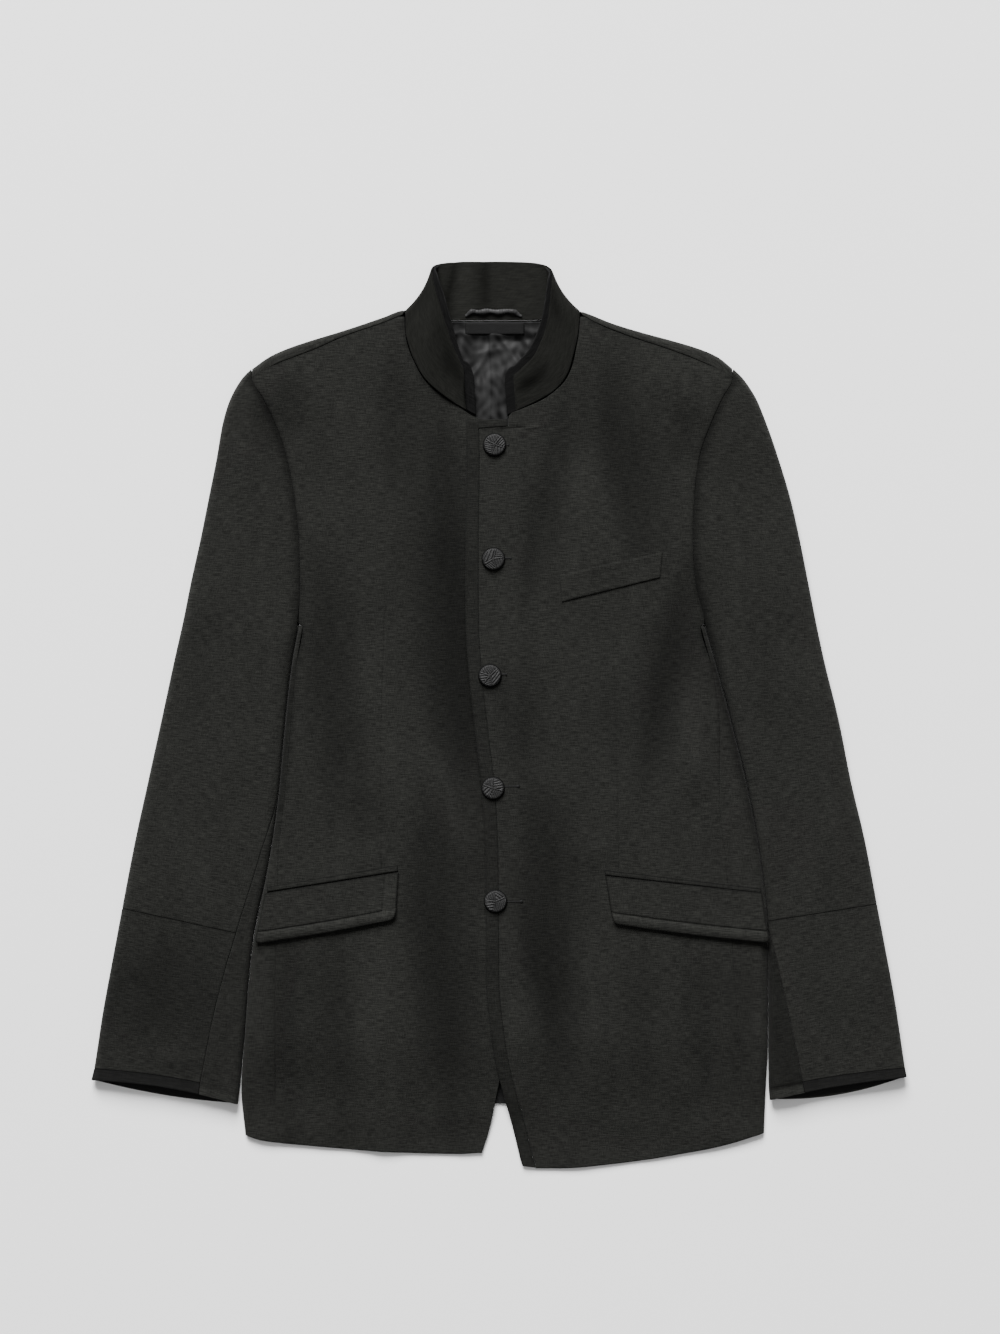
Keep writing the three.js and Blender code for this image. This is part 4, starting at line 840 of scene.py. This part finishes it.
def makeUpperSleeve(name, rows, start, end, looks):
    atMouth = end == sleeve["end"]
    at, before, after = sleevePlaces(rows, start, end, start > 0, not atMouth)
    width, front, toCuff, place, heightAt = sleeveFrame(rows, at, True)
    seam = sunk(after, 1.0, 0.5) if atMouth else sunk(after, 1.2, 0.7)
    paintedSeamShade = sleeve["paintedSeamShade"] * bell(after / 1.1) * (not atMouth)
    if start > 0:
        seam = np.maximum(seam, sunk(before, 1.2, 0.7))
        paintedSeamShade = paintedSeamShade + sleeve["paintedSeamShade"] * bell(before / 1.1)
    reach = width - front - seamOpen / 2
    outer, inner = foldedCloth(heightAt, np.minimum(sleeve["outerRound"], width * 0.6), reach,
                               np.minimum(sleeve["elbowSeam"], width * 0.75), sleeveCloth, (34, 18, 5),
                               squeeze=seam[:, None], **innerTurn(front, at))
    points = stack(*place(*outer), outer[1])
    # Painted shade beside the armhole seam on the sleeve head and along the cross seams, a painted highlight
    # along the outer fold, painted shade over the middle of the left lower sleeve, and the painted fold shading
    paintedArmholeShade = sleeve["paintedArmholeShade"] * ease((10.5 - at) / 3)[:, None] * bell((reach - outer[0]) / 6)
    shade = hollow(points[..., 0], points[..., 1]) + paintedArmholeShade - sleeve["paintedRimHighlight"] * bell(outer[0] / 5)
    shade = shade + paintedSeamShade[:, None]
    if rows["outX"][0] < 0:
        shade = shade + sleeve["lowerTone"] * bell((toCuff - 88) / 62)
    makeShell(name, points, stack(*place(*inner), inner[1]), looks,
              sleeveGrain(width - front - runAlong(points, 1), points, 20), shade=shade)


# The under sleeve: flat under the armhole, and below it round the inner fold, with its turn-up
def makeUnderSleeve(name, rows, side):
    for part, start, end in (("_head", 0, sleeve["underarm"]), ("", sleeve["underarm"], sleeve["end"])):
        at = sleevePlaces(rows, start, end, False, start == 0)[0]
        width, front, toCuff, place, heightAt = sleeveFrame(rows, at, False)
        bottom = width - np.minimum(sleeve["elbowSeam"], width * 0.75) - seamGap
        if part:
            distance = mix(seamGap / 2, bottom, np.linspace(0, 1, 24)[None, :])
            points, inside, shade = stack(*place(distance), 0.0), stack(*place(distance), sleeveCloth), 0.0
        else:
            radius = np.minimum(sleeve["innerRound"], np.maximum(front - 0.3, 0.5))
            lower = innerTurn(front, at)["seamDepth"] - 0.8
            outer, inner = foldedCloth(lambda distance: heightAt(distance) - lower, radius, front - seamGap / 2,
                                       bottom, sleeveCloth, (9, 16, 12))
            fromTurn = toCuff - sleeve["turnUp"]
            groove = 0.5 * bell(fromTurn / 0.7) * (outer[1] > 4)
            points, inside = stack(*place(*outer), outer[1] - groove), stack(*place(*inner), inner[1])
            # Painted shade over the under sleeve, stronger on the right, and a dark line in the turn-up's
            # crease; the turn-up itself a little lighter
            shade = mix(sleeve["underTone"][side], -0.16, ease(0.5 - fromTurn)) + 0.4 * bell(fromTurn / 0.9)
        makeShell(name + part, points, inside, lined, sleeveGrain(runAlong(points, 1), points, 3), shade=shade)


for side, rows in (("left", leftSleeve), ("right", rightSleeve)):
    makeUpperSleeve(f"sleeve_{side}_upper", rows, 0, sleeve["crossSeam"], lined)
    makeUpperSleeve(f"sleeve_{side}_lower", rows, sleeve["crossSeam"], sleeve["cuffEdge"], lined)
    makeUpperSleeve(f"cuff_{side}_band", rows, sleeve["cuffEdge"], sleeve["end"], [cuffEdge, bodyLining])
    makeUnderSleeve(f"sleeve_{side}_under", rows, side)
print("sleeves made")

# Collar: a row for each place along its neckline, from the left front end round the back to the
# right one, with its foot, its top edge and how far the inner collar stands past that edge

collarRows = table("footX footY footZ topX topY topZ proud waist", [
    (-30.2, 279.5, 11.5, -32.2, 316.5, 15.5, 9, 0), (-36.6, 283, 11.5, -35.9, 324.8, 16.5, 9, 0),
    (-53.9, 294.9, 12, -42.3, 338.6, 18.5, 9, 1), (-68.5, 308.5, 12.5, -47.8, 355.1, 20.5, 8.5, 2),
    (-81.4, 333.2, 13, -54.3, 375.4, 22.5, 8, 3), (-85.9, 351.6, 13.5, -59.8, 393.8, 22.5, 7, 4),
    (-86.2, 366.5, 13.4, -62.5, 406, 18, 4, 5), (-85.9, 371.6, 7.4, -60.5, 412.2, 9.5, 1, 5),
    (-78.6, 369.4, 3.6, -55, 414.8, 2.8, 0, 3), (-62, 365.2, 0.9, -45, 416, 0.5, 0, 1),
    (-38, 362.9, 0.05, -32, 416.6, 0, 0, 0), (-5, 362.9, 0, -6, 416.8, 0, 0, 0),
    (27, 362.9, 0.05, 20, 416.4, 0, 0, 0), (52, 365.2, 0.9, 34, 415.4, 0.5, 0, -1),
    (67.6, 369.4, 3.6, 43.5, 413.4, 2.8, 0, -3), (74.1, 371.2, 7.4, 48.3, 409, 9.5, 1, -5),
    (74.2, 366.5, 13.4, 50, 401.5, 18, 4, -5), (73, 350.5, 13.5, 48.3, 389.2, 22.5, 6.5, -4),
    (69.4, 333.5, 13, 46, 368, 22.5, 7.5, -3), (63, 312.4, 12.5, 40.5, 346.8, 20.5, 8, -2),
    (50.2, 296.7, 12, 32.2, 329.4, 18.5, 8, -1), (28.5, 284.5, 11.5, 21.2, 318, 16.5, 8, 0),
    (16.8, 278.9, 11.5, 14.2, 312.2, 15.5, 8, 0),
])
collar = {"facing": 10, "last": 22, "placeStep": 0.125, "darkFrom": 0.985, "liningEnds": (6.6, 16.4)}
# Soft dents of the collar: a place along and up it, its two widths, its rise and its tone, a painted shade (a
# painted highlight where it is below zero)
outerDents = table("at up wide tall rise tone", [
    (20.7, 0.52, 1.0, 0.17, -1.2, 0.66), (17.4, 0.72, 0.45, 0.35, -0.9, 0.28),
    (19.2, 0.45, 1.3, 0.4, 0.6, -0.14), (1.6, 0.66, 1.3, 0.30, -0.9, 0.46),
    (4.2, 0.35, 0.8, 0.35, 0.6, -0.14), (5.6, 0.6, 0.5, 0.4, -0.6, 0.30),
    (3.1, 0.8, 0.5, 0.2, -0.4, 0.10), (0.0, 0.40, 0.34, 0.34, -0.3, 0.80),
])
innerDents = table("at up wide tall rise tone", [
    (9.45, 0.50, 0.30, 0.6, -1.0, 0.50), (10.1, 0.6, 0.25, 0.6, 0.7, -0.20),
    (10.75, 0.6, 0.20, 0.6, -1.0, 0.50), (13.4, 0.5, 0.4, 0.6, -0.4, 0.16),
    (11.9, 0.4, 0.5, 0.4, 0.3, -0.05),
])


# Rise and painted tone of the dents (shade above zero, highlight below): sums of bells along and up the collar
def dentsAt(dents, at, up):
    rise, tone = 0, 0
    for atDent, upDent, wide, tall, dentRise, dentTone in zip(*dents.values()):
        shape = bell((at - atDent) / wide) * bell((up - upDent) / tall)
        rise, tone = rise + dentRise * shape, tone + dentTone * shape
    return rise, tone


# The outer face: foot to top edge on a straight line, drawn in at the waist
def collarFace(at, up):
    row = {k: curve(np.arange(collar["last"] + 1), collarRows[k], at) for k in collarRows}
    foot = stack(row["footX"], row["footY"], row["footZ"])
    top = stack(row["topX"], row["topY"], row["topZ"])
    points = mix(foot, top, up[..., None])
    level = np.clip(up, 0, 1)
    points[..., 0] += row["waist"] * 4 * level * (1 - level) * (1 - 0.4 * up)
    return points, row


# A layer between two depths under the outer face, along its own normals: the cross product of the
# differences along its rows and columns, turned upwards in the middle
def collarLayer(points, first, last):
    normal = np.cross(np.gradient(points, axis=1), np.gradient(points, axis=0))
    normal = normal / np.maximum(np.linalg.norm(normal, axis=2, keepdims=True), 1e-9)
    if normal[len(points) // 2, points.shape[1] // 2, 2] < 0:
        normal = -normal
    return points + normal * first, points + normal * last


def makeOuterCollar():
    last = collar["last"]
    places = np.concatenate([near / last, np.arange(0.25, last - 0.2, collar["placeStep"]),
                             last - near[::-1] / 14])
    ups = np.concatenate([[0.008, 0.02, 0.04, 0.07], np.linspace(0.1, 0.93, 20), [0.95, 0.97, 0.985, 0.995, 1]])
    at, up = np.meshgrid(places, ups, indexing="ij")
    points, row = collarFace(at, up)
    height = np.linalg.norm(points[:, -1] - points[:, 0], axis=1)[:, None]
    dent, tone = dentsAt(outerDents, at, up)
    points[..., 2] += dent + 1.3 * ease(row["footZ"] / 5 - 1.4) * (1 - up)
    edge = sunk((1 - up) * height, 1.5, 0.85)
    foot = sunk((up - 0.008) * height, 1.0, 0.4)
    ends = np.minimum(sunk(at * 12, 1.2, 0.8) + sunk((last - at) * 12, 1.2, 0.8), 0.8)
    outer, inner = collarLayer(points, np.maximum(np.maximum(edge, foot), ends)[..., None],
                               collarCloth - 0.8 * edge[..., None])
    # Painted shade in the dents, in a line along the top edge and at the foot seam; a little lighter all over
    makeShell("collar_outer", outer, inner, [collarWool], stack(runAlong(points, 0), up * height),
              shade=tone + 0.2 * bell((1 - up) * height / 1.2) + 0.1 * bell(up * height / 1.0) - 0.02)


# The inner collar goes on past the top edge, and past both front ends as a rounded facing
def makeInnerCollar():
    last = collar["last"]
    places = np.concatenate([np.linspace(-1, 0, 9)[:-1], np.arange(0, last, collar["placeStep"]),
                             np.linspace(last, last + 1, 9)])
    ups = np.concatenate([[0.008, 0.009, 0.03, 0.07], np.linspace(0.1, 0.8, 16), np.linspace(0.82, 0.96, 8),
                          [0.975, 0.985, 0.995, 1]])
    at, up = np.meshgrid(places, ups, indexing="ij")
    ends = [collarFace(at, np.full(up.shape, level))[0] for level in (0.0, 1.0)]
    height = np.linalg.norm(ends[1] - ends[0], axis=2)
    row = collarFace(at, up)[1]
    reach = up * (1 + row["proud"] / height)
    points = collarFace(at, reach)[0]
    rounded = np.sqrt(np.clip(1 - (np.clip(up - 0.72, 0, 1) / 0.30) ** 2, 0, 1))
    for beyond, end, towards in ((np.clip(-at, 0, 1), 8, 9), (np.clip(at - last, 0, 1), -9, -10)):
        away = (points[end, 0] - points[towards, 0]) * (1, 1, 0)
        points = points + (beyond * collar["facing"] * rounded)[..., None] * away / np.linalg.norm(away)
    dent, tone = dentsAt(innerDents, at, up)
    points[..., 2] += dent
    edge = sunk((1 - up) * height, 1.2, 0.8)[..., None]
    depth = collarCloth + seamGap
    outer, inner = collarLayer(points, depth + edge, depth + collarCloth - edge)
    # The first row turns down to the neck seam
    seamTurn = 3.2 * ease(outer[:, 0, 2] / 6 - 0.5)
    outer[:, 0, 2] -= seamTurn
    outer[:, 0] += (outer[:, 0] - inner[:, 0]) * (1.4, 1.4, 0)
    inner[:, 0, 2] -= seamTurn
    # The part that stands past the outer collar's edge, and the facings past the front ends, take the
    # near-black cloth as painted shade, and so does the underside of the front parts; a painted highlight runs
    # along that band's top edge, and the whole inner collar is a share lighter than the collar wool
    dark = ((reach > collar["darkFrom"]) & (row["proud"] > 0.3)) | (at < -0.01) | (at > last + 0.01)
    low, high = collar["liningEnds"]
    lookOf = [faces[:-1, :-1].astype(int) for faces in (dark, dark | (at < low) | (at > high))]
    makeShell("collar_inner", outer, inner, [collarWool, paintedShadeCloth], stack(runAlong(points, 0), up * height),
              (*lookOf, 1), tone - 0.12 - 0.9 * bell((1 - up) * height / 0.7) * dark)


makeOuterCollar()
makeInnerCollar()
print("collar made")

# Neck lining, label and hanger loop

neck = {"left": -58, "right": 48, "top": 361.6, "bottom": 266, "pleat": -7.5}
label = {"left": -31, "right": 23, "top": 360.5, "bottom": 349.5, "thick": 0.55}
loop = {"left": -31, "right": 21, "foot": 366.6, "top": 370.6, "radius": 2.1}

creases = table("x y turn length width rise", [
    (-34, 338, 70, 30, 5, 1.5), (-18, 322, 55, 26, 4, 1.2), (12, 330, 120, 26, 4, 1.6),
    (26, 338, 100, 22, 4, 1.2), (20, 312, 75, 24, 3.5, 1.2), (2, 306, 80, 26, 3, 1.1),
    (-14, 300, 95, 24, 3, 1.2), (10, 290, 88, 22, 3, 1.3), (-2, 282, 92, 20, 2.6, 1.0),
    (30, 322, 60, 18, 3, -1.1), (-28, 316, 40, 18, 3, -1.2), (-6, 334, 10, 22, 3, 0.9),
    (8, 344, 4, 26, 3, -0.9), (-40, 350, 15, 16, 3, 0.9), (34, 352, 160, 14, 3, 0.9),
])


# Crumpled satin: a sum of short creases, each a bell across and along its own direction, a sharp
# pleat down the middle, and small waves
def makeNeckLining():
    x, y = np.meshgrid(np.linspace(neck["left"], neck["right"], 96),
                       np.linspace(neck["top"], neck["bottom"], 88))
    relief = 0.28 * np.sin(x / 6.5 + y / 17) + 0.2 * np.cos(y / 7 - x / 11) + 0.12 * np.sin(x / 2.9 - y / 5.3)
    relief = relief + 0.16 * np.sin(x / 1.9 + 2 * np.sin(y / 4)) + 0.14 * np.sin(y / 2.1 + 2 * np.sin(x / 3.4))
    for atX, atY, turn, length, width, rise in zip(*creases.values()):
        cos, sin = np.cos(np.radians(turn)), np.sin(np.radians(turn))
        along, across = (x - atX) * cos + (y - atY) * sin, (y - atY) * cos - (x - atX) * sin
        relief = relief + rise * bell(along / length) * bell(across / width)
    pleat = x - neck["pleat"] - 1.5 * np.sin(y / 21)
    relief = relief + 1.0 / (1 + np.exp(-pleat / 0.5)) * bell(pleat / 9)
    fade = ease((neck["top"] - y) / 14)
    level = cloth + seamGap + np.maximum((1.3 + relief * fade) * fade, 0)
    # Painted shade on the lining: dark along the top under the collar, a dark patch at the label's right end, a
    # dark line by the pleat and a dark streak low in the middle, a lighter patch at the left, and a fine light
    # and dark pattern as painted shade and highlight of small crumples
    shade = 0.85 * ease((y - 341) / 8) + 0.7 * bell((x - 20) / 4) * bell((y - 348) / 9)
    shade = shade + 0.35 * bell(pleat + 1) - 0.2 * bell((x + 12) / 12) * bell((y - 322) / 18)
    shade = shade + 0.42 * np.sin(x / 2.3 + 1.5 * np.sin(y / 6)) * np.sin(y / 2.7 + 1.5 * np.sin(x / 5))
    shade = shade + 0.4 * ease((300 - y) / 30) * bell((x - 2) / 6)
    makeShell("back_lining", stack(x, y, level + liningCloth), stack(x, y, level), [satin],
              shade=np.minimum(shade, 0.9))


def makeLabel():
    x, y = np.meshgrid(np.linspace(label["left"], label["right"], 40),
                       np.linspace(label["top"], label["bottom"], 12))
    border = np.min([x - label["left"], label["right"] - x, label["top"] - y, y - label["bottom"]], axis=0)
    low = cloth + liningCloth + 2.2 + 0.3 * ease((label["top"] - y) / 12) + 0.25 * np.sin(x / 9)
    makeShell("neck_label", stack(x, y, low + label["thick"] - sunk(border, 1.0, 0.4)), stack(x, y, low),
              [labelCloth])


# A cord that rises from both feet, wavers a little and is thinner at its feet
def makeHangerLoop():
    share = np.linspace(0, 1, 90)
    rise = ease(share / 0.14) * ease((1 - share) / 0.14)
    path = stack(mix(loop["left"], loop["right"], share),
                 mix(loop["foot"], loop["top"], rise) + 0.5 * np.sin(share * 19),
                 2 * collarCloth + 2 * seamGap + 1.0 + (1.2 + 0.7 * np.sin(share * 25)) * rise)
    uneven = 1 + 0.08 * np.sin(share * 130) + 0.12 * np.sin(share * 23)
    radius = loop["radius"] * uneven * (0.55 + 0.45 * rise)
    makeRod("hanger_loop", tubeRound(path, radius, 12, 0.7), [cordSatin])


makeNeckLining()
makeLabel()
makeHangerLoop()
print("neck made")

# Pocket flaps, jets and the breast welt: four corners each, raised on the cloth

flaps = {
    "left": {"corners": ((-214.5, -163.2), (-92, -143.8), (-223.5, -209.5), (-94.8, -186.8)),
             "top": lay, "length": 124, "strip": 12.5},
    "right": {"corners": ((97.5, -147.2), (240.5, -162.8), (104.5, -191), (247.2, -208.5)),
              "top": overLay, "length": 143, "strip": 0},
    "reach": (-208, 231),       # the cloth's height is read no further out than this
    "depth": 44.5,
    "cloth": 2.0,
    "bottomStrip": 10.5,
    "lift": 1.9,
    "bow": 1.5,
    "corner": 5.0,
}
# Corners, length, depth, what it lies on, how far out that is read, and the painted shade of it all and of its
# border
laidPieces = {
    "jet_left": (((-212.5, -157.3), (-93, -137.4), (-212.5, -162), (-92.4, -143.2)),
                 121, 5, lay, flaps["reach"], 0.05, 0.85),
    "jet_right": (((96.5, -141.7), (240, -158.9), (97.2, -146.8), (240, -163.2)),
                  145, 3.6, overLay, flaps["reach"], 0.05, 0.85),
    "breast_welt": (((55, 128.4), (150, 150), (57.5, 103.5), (147.7, 126)),
                    94, 24, overLay, (-400, 400), 0, 0.4),
}
laidCloth = 1.2


# Places between four corners, by shares across and down
def cornered(corners, across, down, bow=0.0):
    topLeft, topRight, bottomLeft, bottomRight = (np.array(c, float) for c in corners)
    across, down = across[None, :, None], down[:, None, None]
    points = mix(mix(topLeft, topRight, across), mix(bottomLeft, bottomRight, across), down)
    sag = bow * 4 * across[..., 0] * (1 - across[..., 0]) * down[..., 0]
    return points[..., 0], points[..., 1] - sag


# Shares from 0 to 1 over a length, close together at both ends and beside marked places
def sharesWith(length, marks, step):
    places = [np.linspace(0, length, int(length / step) + 1), near, length - near]
    for mark in marks:
        places += [mark + near, mark - near]
    places = np.unique(np.round(np.concatenate(places), 3))
    places = places[(places >= 0) & (places <= length)]
    keep = np.concatenate([[True], np.diff(places) > 0.1])
    keep[-1] = True
    return places[keep] / length


# Distances from a piece's left, right, top and bottom edges
def edgeDistances(across, down, length, depth):
    across, down = across[None, :], down[:, None]
    return across * length, (1 - across) * length, down * depth, (1 - down) * depth


# A flap on the cloth: the cloth's height, a gap, its thickness, rounded edges and grooves where its
# strips are sewn on; the lift raises its lower edge, whose strip is puffed up
def makeFlap(side):
    piece = flaps[side]
    length, depth, strip, bottomStrip = piece["length"], flaps["depth"], piece["strip"], flaps["bottomStrip"]
    across = sharesWith(length, [length - strip] if strip else [], 2.4)
    down = sharesWith(depth, [depth - bottomStrip], 1.8)
    fromLeft, fromRight, fromTop, fromBottom = edgeDistances(across, down, length, depth)
    x, y = cornered(piece["corners"], across, down, flaps["bow"])
    y = y + sunk(np.minimum(fromLeft, fromRight), flaps["corner"], flaps["corner"]) * down[:, None] ** 6
    lift = flaps["lift"] * down[:, None] ** 1.6 * (1 - 0.25 * np.sin(across[None, :] * 5))
    border = np.minimum(np.minimum(fromLeft, fromRight), fromBottom)
    edge = sunk(border, 1.5, 1.1)
    onStrip, onBottom = fromRight < strip, fromBottom < bottomStrip
    bottomLine = bell((fromBottom - bottomStrip) / 0.8) * (1 - onStrip)
    stripLine = (strip > 0) * bell((fromRight - strip) / 0.8) * (fromBottom > bottomStrip)
    puffed = 1.5 * np.sin(np.pi * np.clip(fromBottom / bottomStrip, 0, 1)) * onBottom
    puffed = np.maximum(puffed, 0.4 * onStrip * bell((fromRight - 6) / 4))
    puffed = puffed + (strip == 0) * 1.3 * bell((fromRight - 5) / 4) * ease(fromTop / 12)
    quilt = 0.25 * np.sin(x / 7.3) * np.sin(y / 5.1)
    base = piece["top"](np.clip(x, *flaps["reach"]), y) + seamGap + lift
    sewn = 0.7 * bottomLine + 0.3 * stripLine + np.maximum(edge, sunk(fromTop, 1.2, 0.8))
    # Painted shade: the folds' painted shade, dark lines along the sewn strips and round the edges; the puffed
    # bottom strip and the side strip a little lighter, as painted highlight
    makeShell(f"flap_{side}", stack(x, y, base + flaps["cloth"] + puffed + quilt - sewn),
              stack(x, y, base + 0.7 * edge), [wool],
              shade=0.4 * hollow(x, y) + 0.3 * bottomLine + 0.2 * stripLine - 0.06 * onBottom - 0.10 * onStrip
              + 0.7 * bell(np.minimum(border, fromTop) / 1.0))


# A jet or a welt on the cloth: a little higher along its middle, with rounded edges and a dark line of painted
# shade round its border
def makeLaid(name, corners, length, depth, top, reach, tone, borderTone):
    narrow = depth < 10
    across, down = sharesWith(length, [], 2.4), sharesWith(depth, [], 0.6 if narrow else 1.8)
    x, y = cornered(corners, across, down)
    fromLeft, fromRight, fromTop, fromBottom = edgeDistances(across, down, length, depth)
    border = np.minimum(np.minimum(fromLeft, fromRight), np.minimum(fromTop, fromBottom))
    base = top(np.clip(x, *reach), y) + 0.15
    crown = 0.2 * np.sin(np.pi * down[:, None]) if narrow else 0.2 * bell((border - 3) / 2)
    makeShell(name, stack(x, y, base + laidCloth + crown - sunk(border, 1.3, laidCloth * 0.85)),
              stack(x, y, base), [wool], shade=tone + borderTone * bell(border / 0.8))


for side in ("left", "right"):
    makeFlap(side)
for name, values in laidPieces.items():
    makeLaid(name, *values)
print("pockets made")

# Buttons, wrapped in thread: each has four fields of ridges that run their own way

buttons = {
    "places": ((-4.1, 247.5), (-5.1, 143), (-8.3, 36.3), (-5.5, -66.7), (-3.2, -170.2)),
    "turns": (20, 75, 130, 200, 262),
    "fields": (0, 1.25, 2.95, 4.8),
    "diameter": 19.5,
    "height": 4.0,
    "pitch": (1.9, 2.3, 1.7, 2.7),
    "ridge": 0.8,
    "paintedShadowRing": 1.0,
}
holes = {"starts": (8, 8, 7, 7, 8), "ends": (10.5, 13.5, 12.5, 21.5, 22), "tilt": (0, 0.8, 1.2, 1.5, -0.5)}


# Dome over the radius, plus ridges of one pitch along each field's direction, with a groove between
# fields, wrapped sides and a flange of near-black cloth under it: a painted shadow ring round the button
def makeButton(number):
    x0, y0 = buttons["places"][number]
    radius, height = buttons["diameter"] / 2, buttons["height"]
    shares = np.concatenate([np.linspace(0.02, 0.84, 34), np.linspace(0.87, 1, 10)])
    angle = np.linspace(0, 2 * np.pi, 145)[:-1]
    base = float(np.max(overLay(x0 + radius * np.cos(angle), y0 + radius * np.sin(angle)))) + seamGap

    def ring(out, high):
        return stack(x0 + out * np.cos(angle), y0 + out * np.sin(angle), base + high)

    r, a = np.meshgrid(shares * radius, angle, indexing="ij")
    turn = np.radians(buttons["turns"][number])
    starts = np.array(buttons["fields"]) + 0.3 * np.sin(number * np.arange(4) * 2.3)
    around = (a + turn - starts[0]) % (2 * np.pi) + starts[0]
    field = np.searchsorted(starts, around, side="right") - 1
    way = turn + field * 1.25 + 0.5
    pitch = np.array(buttons["pitch"])[(field + number) % 4]
    across = r * np.sin(way - a) + 0.35 * np.sin(r / 2.6 + field)
    ridge = buttons["ridge"] * (np.abs(np.cos(np.pi * across / pitch)) - 0.5)
    marks = np.append(starts, starts[0] + 2 * np.pi)
    nearBorder = np.min(np.abs(around[..., None] - marks), axis=-1) * r
    ridge = np.where(nearBorder < 0.6, 0.55 * bell(nearBorder / 0.45), ridge)
    groove = 0.45 * bell((nearBorder - 1.0) / 0.3) * (r > 1.6)
    edge = np.clip((r / radius - 0.84) / 0.16, 0, 1)
    dome = height - 0.5 * (r / radius) ** 2 - 1.6 * (1 - np.sqrt(np.maximum(1 - edge ** 2, 0)))
    wrap = np.array([0.75, 0.5, 0.25])[:, None]
    side = ring(radius + 0.15 * np.cos(angle * 60), mix(0.6, height - 2.1, wrap))
    paintedShadowRing = radius + buttons["paintedShadowRing"]
    flange = ring(np.array([[paintedShadowRing], [paintedShadowRing], [radius - 1]]), np.array([[0.5], [0.1], [0]]))
    makeRod(f"button_{number + 1}", np.concatenate([ring(r, dome + ridge - groove), side, flange]),
            [buttonThread, paintedShadeCloth], darkRings=3)


# A buttonhole: a raised line of thread with an eye at its far end
def makeButtonhole(number):
    x0, y0 = buttons["places"][number]
    share = np.linspace(0, 1, 60)
    x = x0 + mix(holes["starts"][number], holes["ends"][number] + 3, share)
    y = y0 + holes["tilt"][number]
    wide = (0.75 + 0.9 * bell((share - 0.93) / 0.07)) * (1 + 0.12 * np.sin(share * 210))
    rings = tubeRound(stack(x, y, overLay(x, y) + 0.05), wide, 10, 0.45)
    makeRod(f"buttonhole_{number + 1}", rings, [bodyLining])


for number in range(len(buttons["places"])):
    makeButton(number)
for number in range(len(buttons["places"])):
    makeButtonhole(number)
print("buttons made")

# Each piece goes under the root body, and the frame's node that it stands for is hidden; the buttonholes stand
# for none

for name, piece in made.items():
    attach(piece, "root")
    if name.startswith("buttonhole"):
        continue
    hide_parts(name.replace("_head", ""))

# Floor, light and camera

camera = {"place": (0.0009, 0.0442, 3.068), "lens": 90}
lights = {"key": ((-1.5, 8.2, 6.4), 5.6, 4150), "overhead": ((0.2, 0.3, 3.8), 3.2, 30)}     # place, size, power
roomLight = 0.30


def addToScene(name, data, place=(0, 0, 0)):
    thing = bpy.data.objects.new(name, data)
    thing.location = place
    bpy.context.scene.collection.objects.link(thing)
    return thing


floorMesh = bpy.data.meshes.new("floor")
floorCorners = [(x, y, -0.0004) for x, y in ((-6, -6), (6, -6), (6, 6), (-6, 6))]
floorMesh.from_pydata(floorCorners, [], [(0, 1, 2, 3)])
floorLook = bpy.data.materials.new("pale floor")
floorLook.use_nodes = True
floorShader = floorLook.node_tree.nodes["Principled BSDF"]
floorShader.inputs["Base Color"].default_value = (0.86, 0.86, 0.86, 1)
floorShader.inputs["Roughness"].default_value = 0.9
floorMesh.materials.append(floorLook)
addToScene("floor", floorMesh)

for name, (place, size, power) in lights.items():
    light = bpy.data.lights.new(name, "AREA")
    light.shape = "SQUARE"
    light.size = size
    light.energy = power
    lamp = addToScene(name, light, place)
    lamp.rotation_mode = "QUATERNION"
    lamp.rotation_quaternion = (-Vector(place)).to_track_quat("-Z", "Y")

world = bpy.data.worlds.new("room")
world.use_nodes = True
world.node_tree.nodes["Background"].inputs["Color"].default_value = (1, 1, 1, 1)
world.node_tree.nodes["Background"].inputs["Strength"].default_value = roomLight
bpy.context.scene.world = world

lens = bpy.data.cameras.new("camera")
lens.lens = camera["lens"]
lens.sensor_width = 36
lens.sensor_fit = "AUTO"
bpy.context.scene.camera = addToScene("camera", lens, camera["place"])
print("stage made")
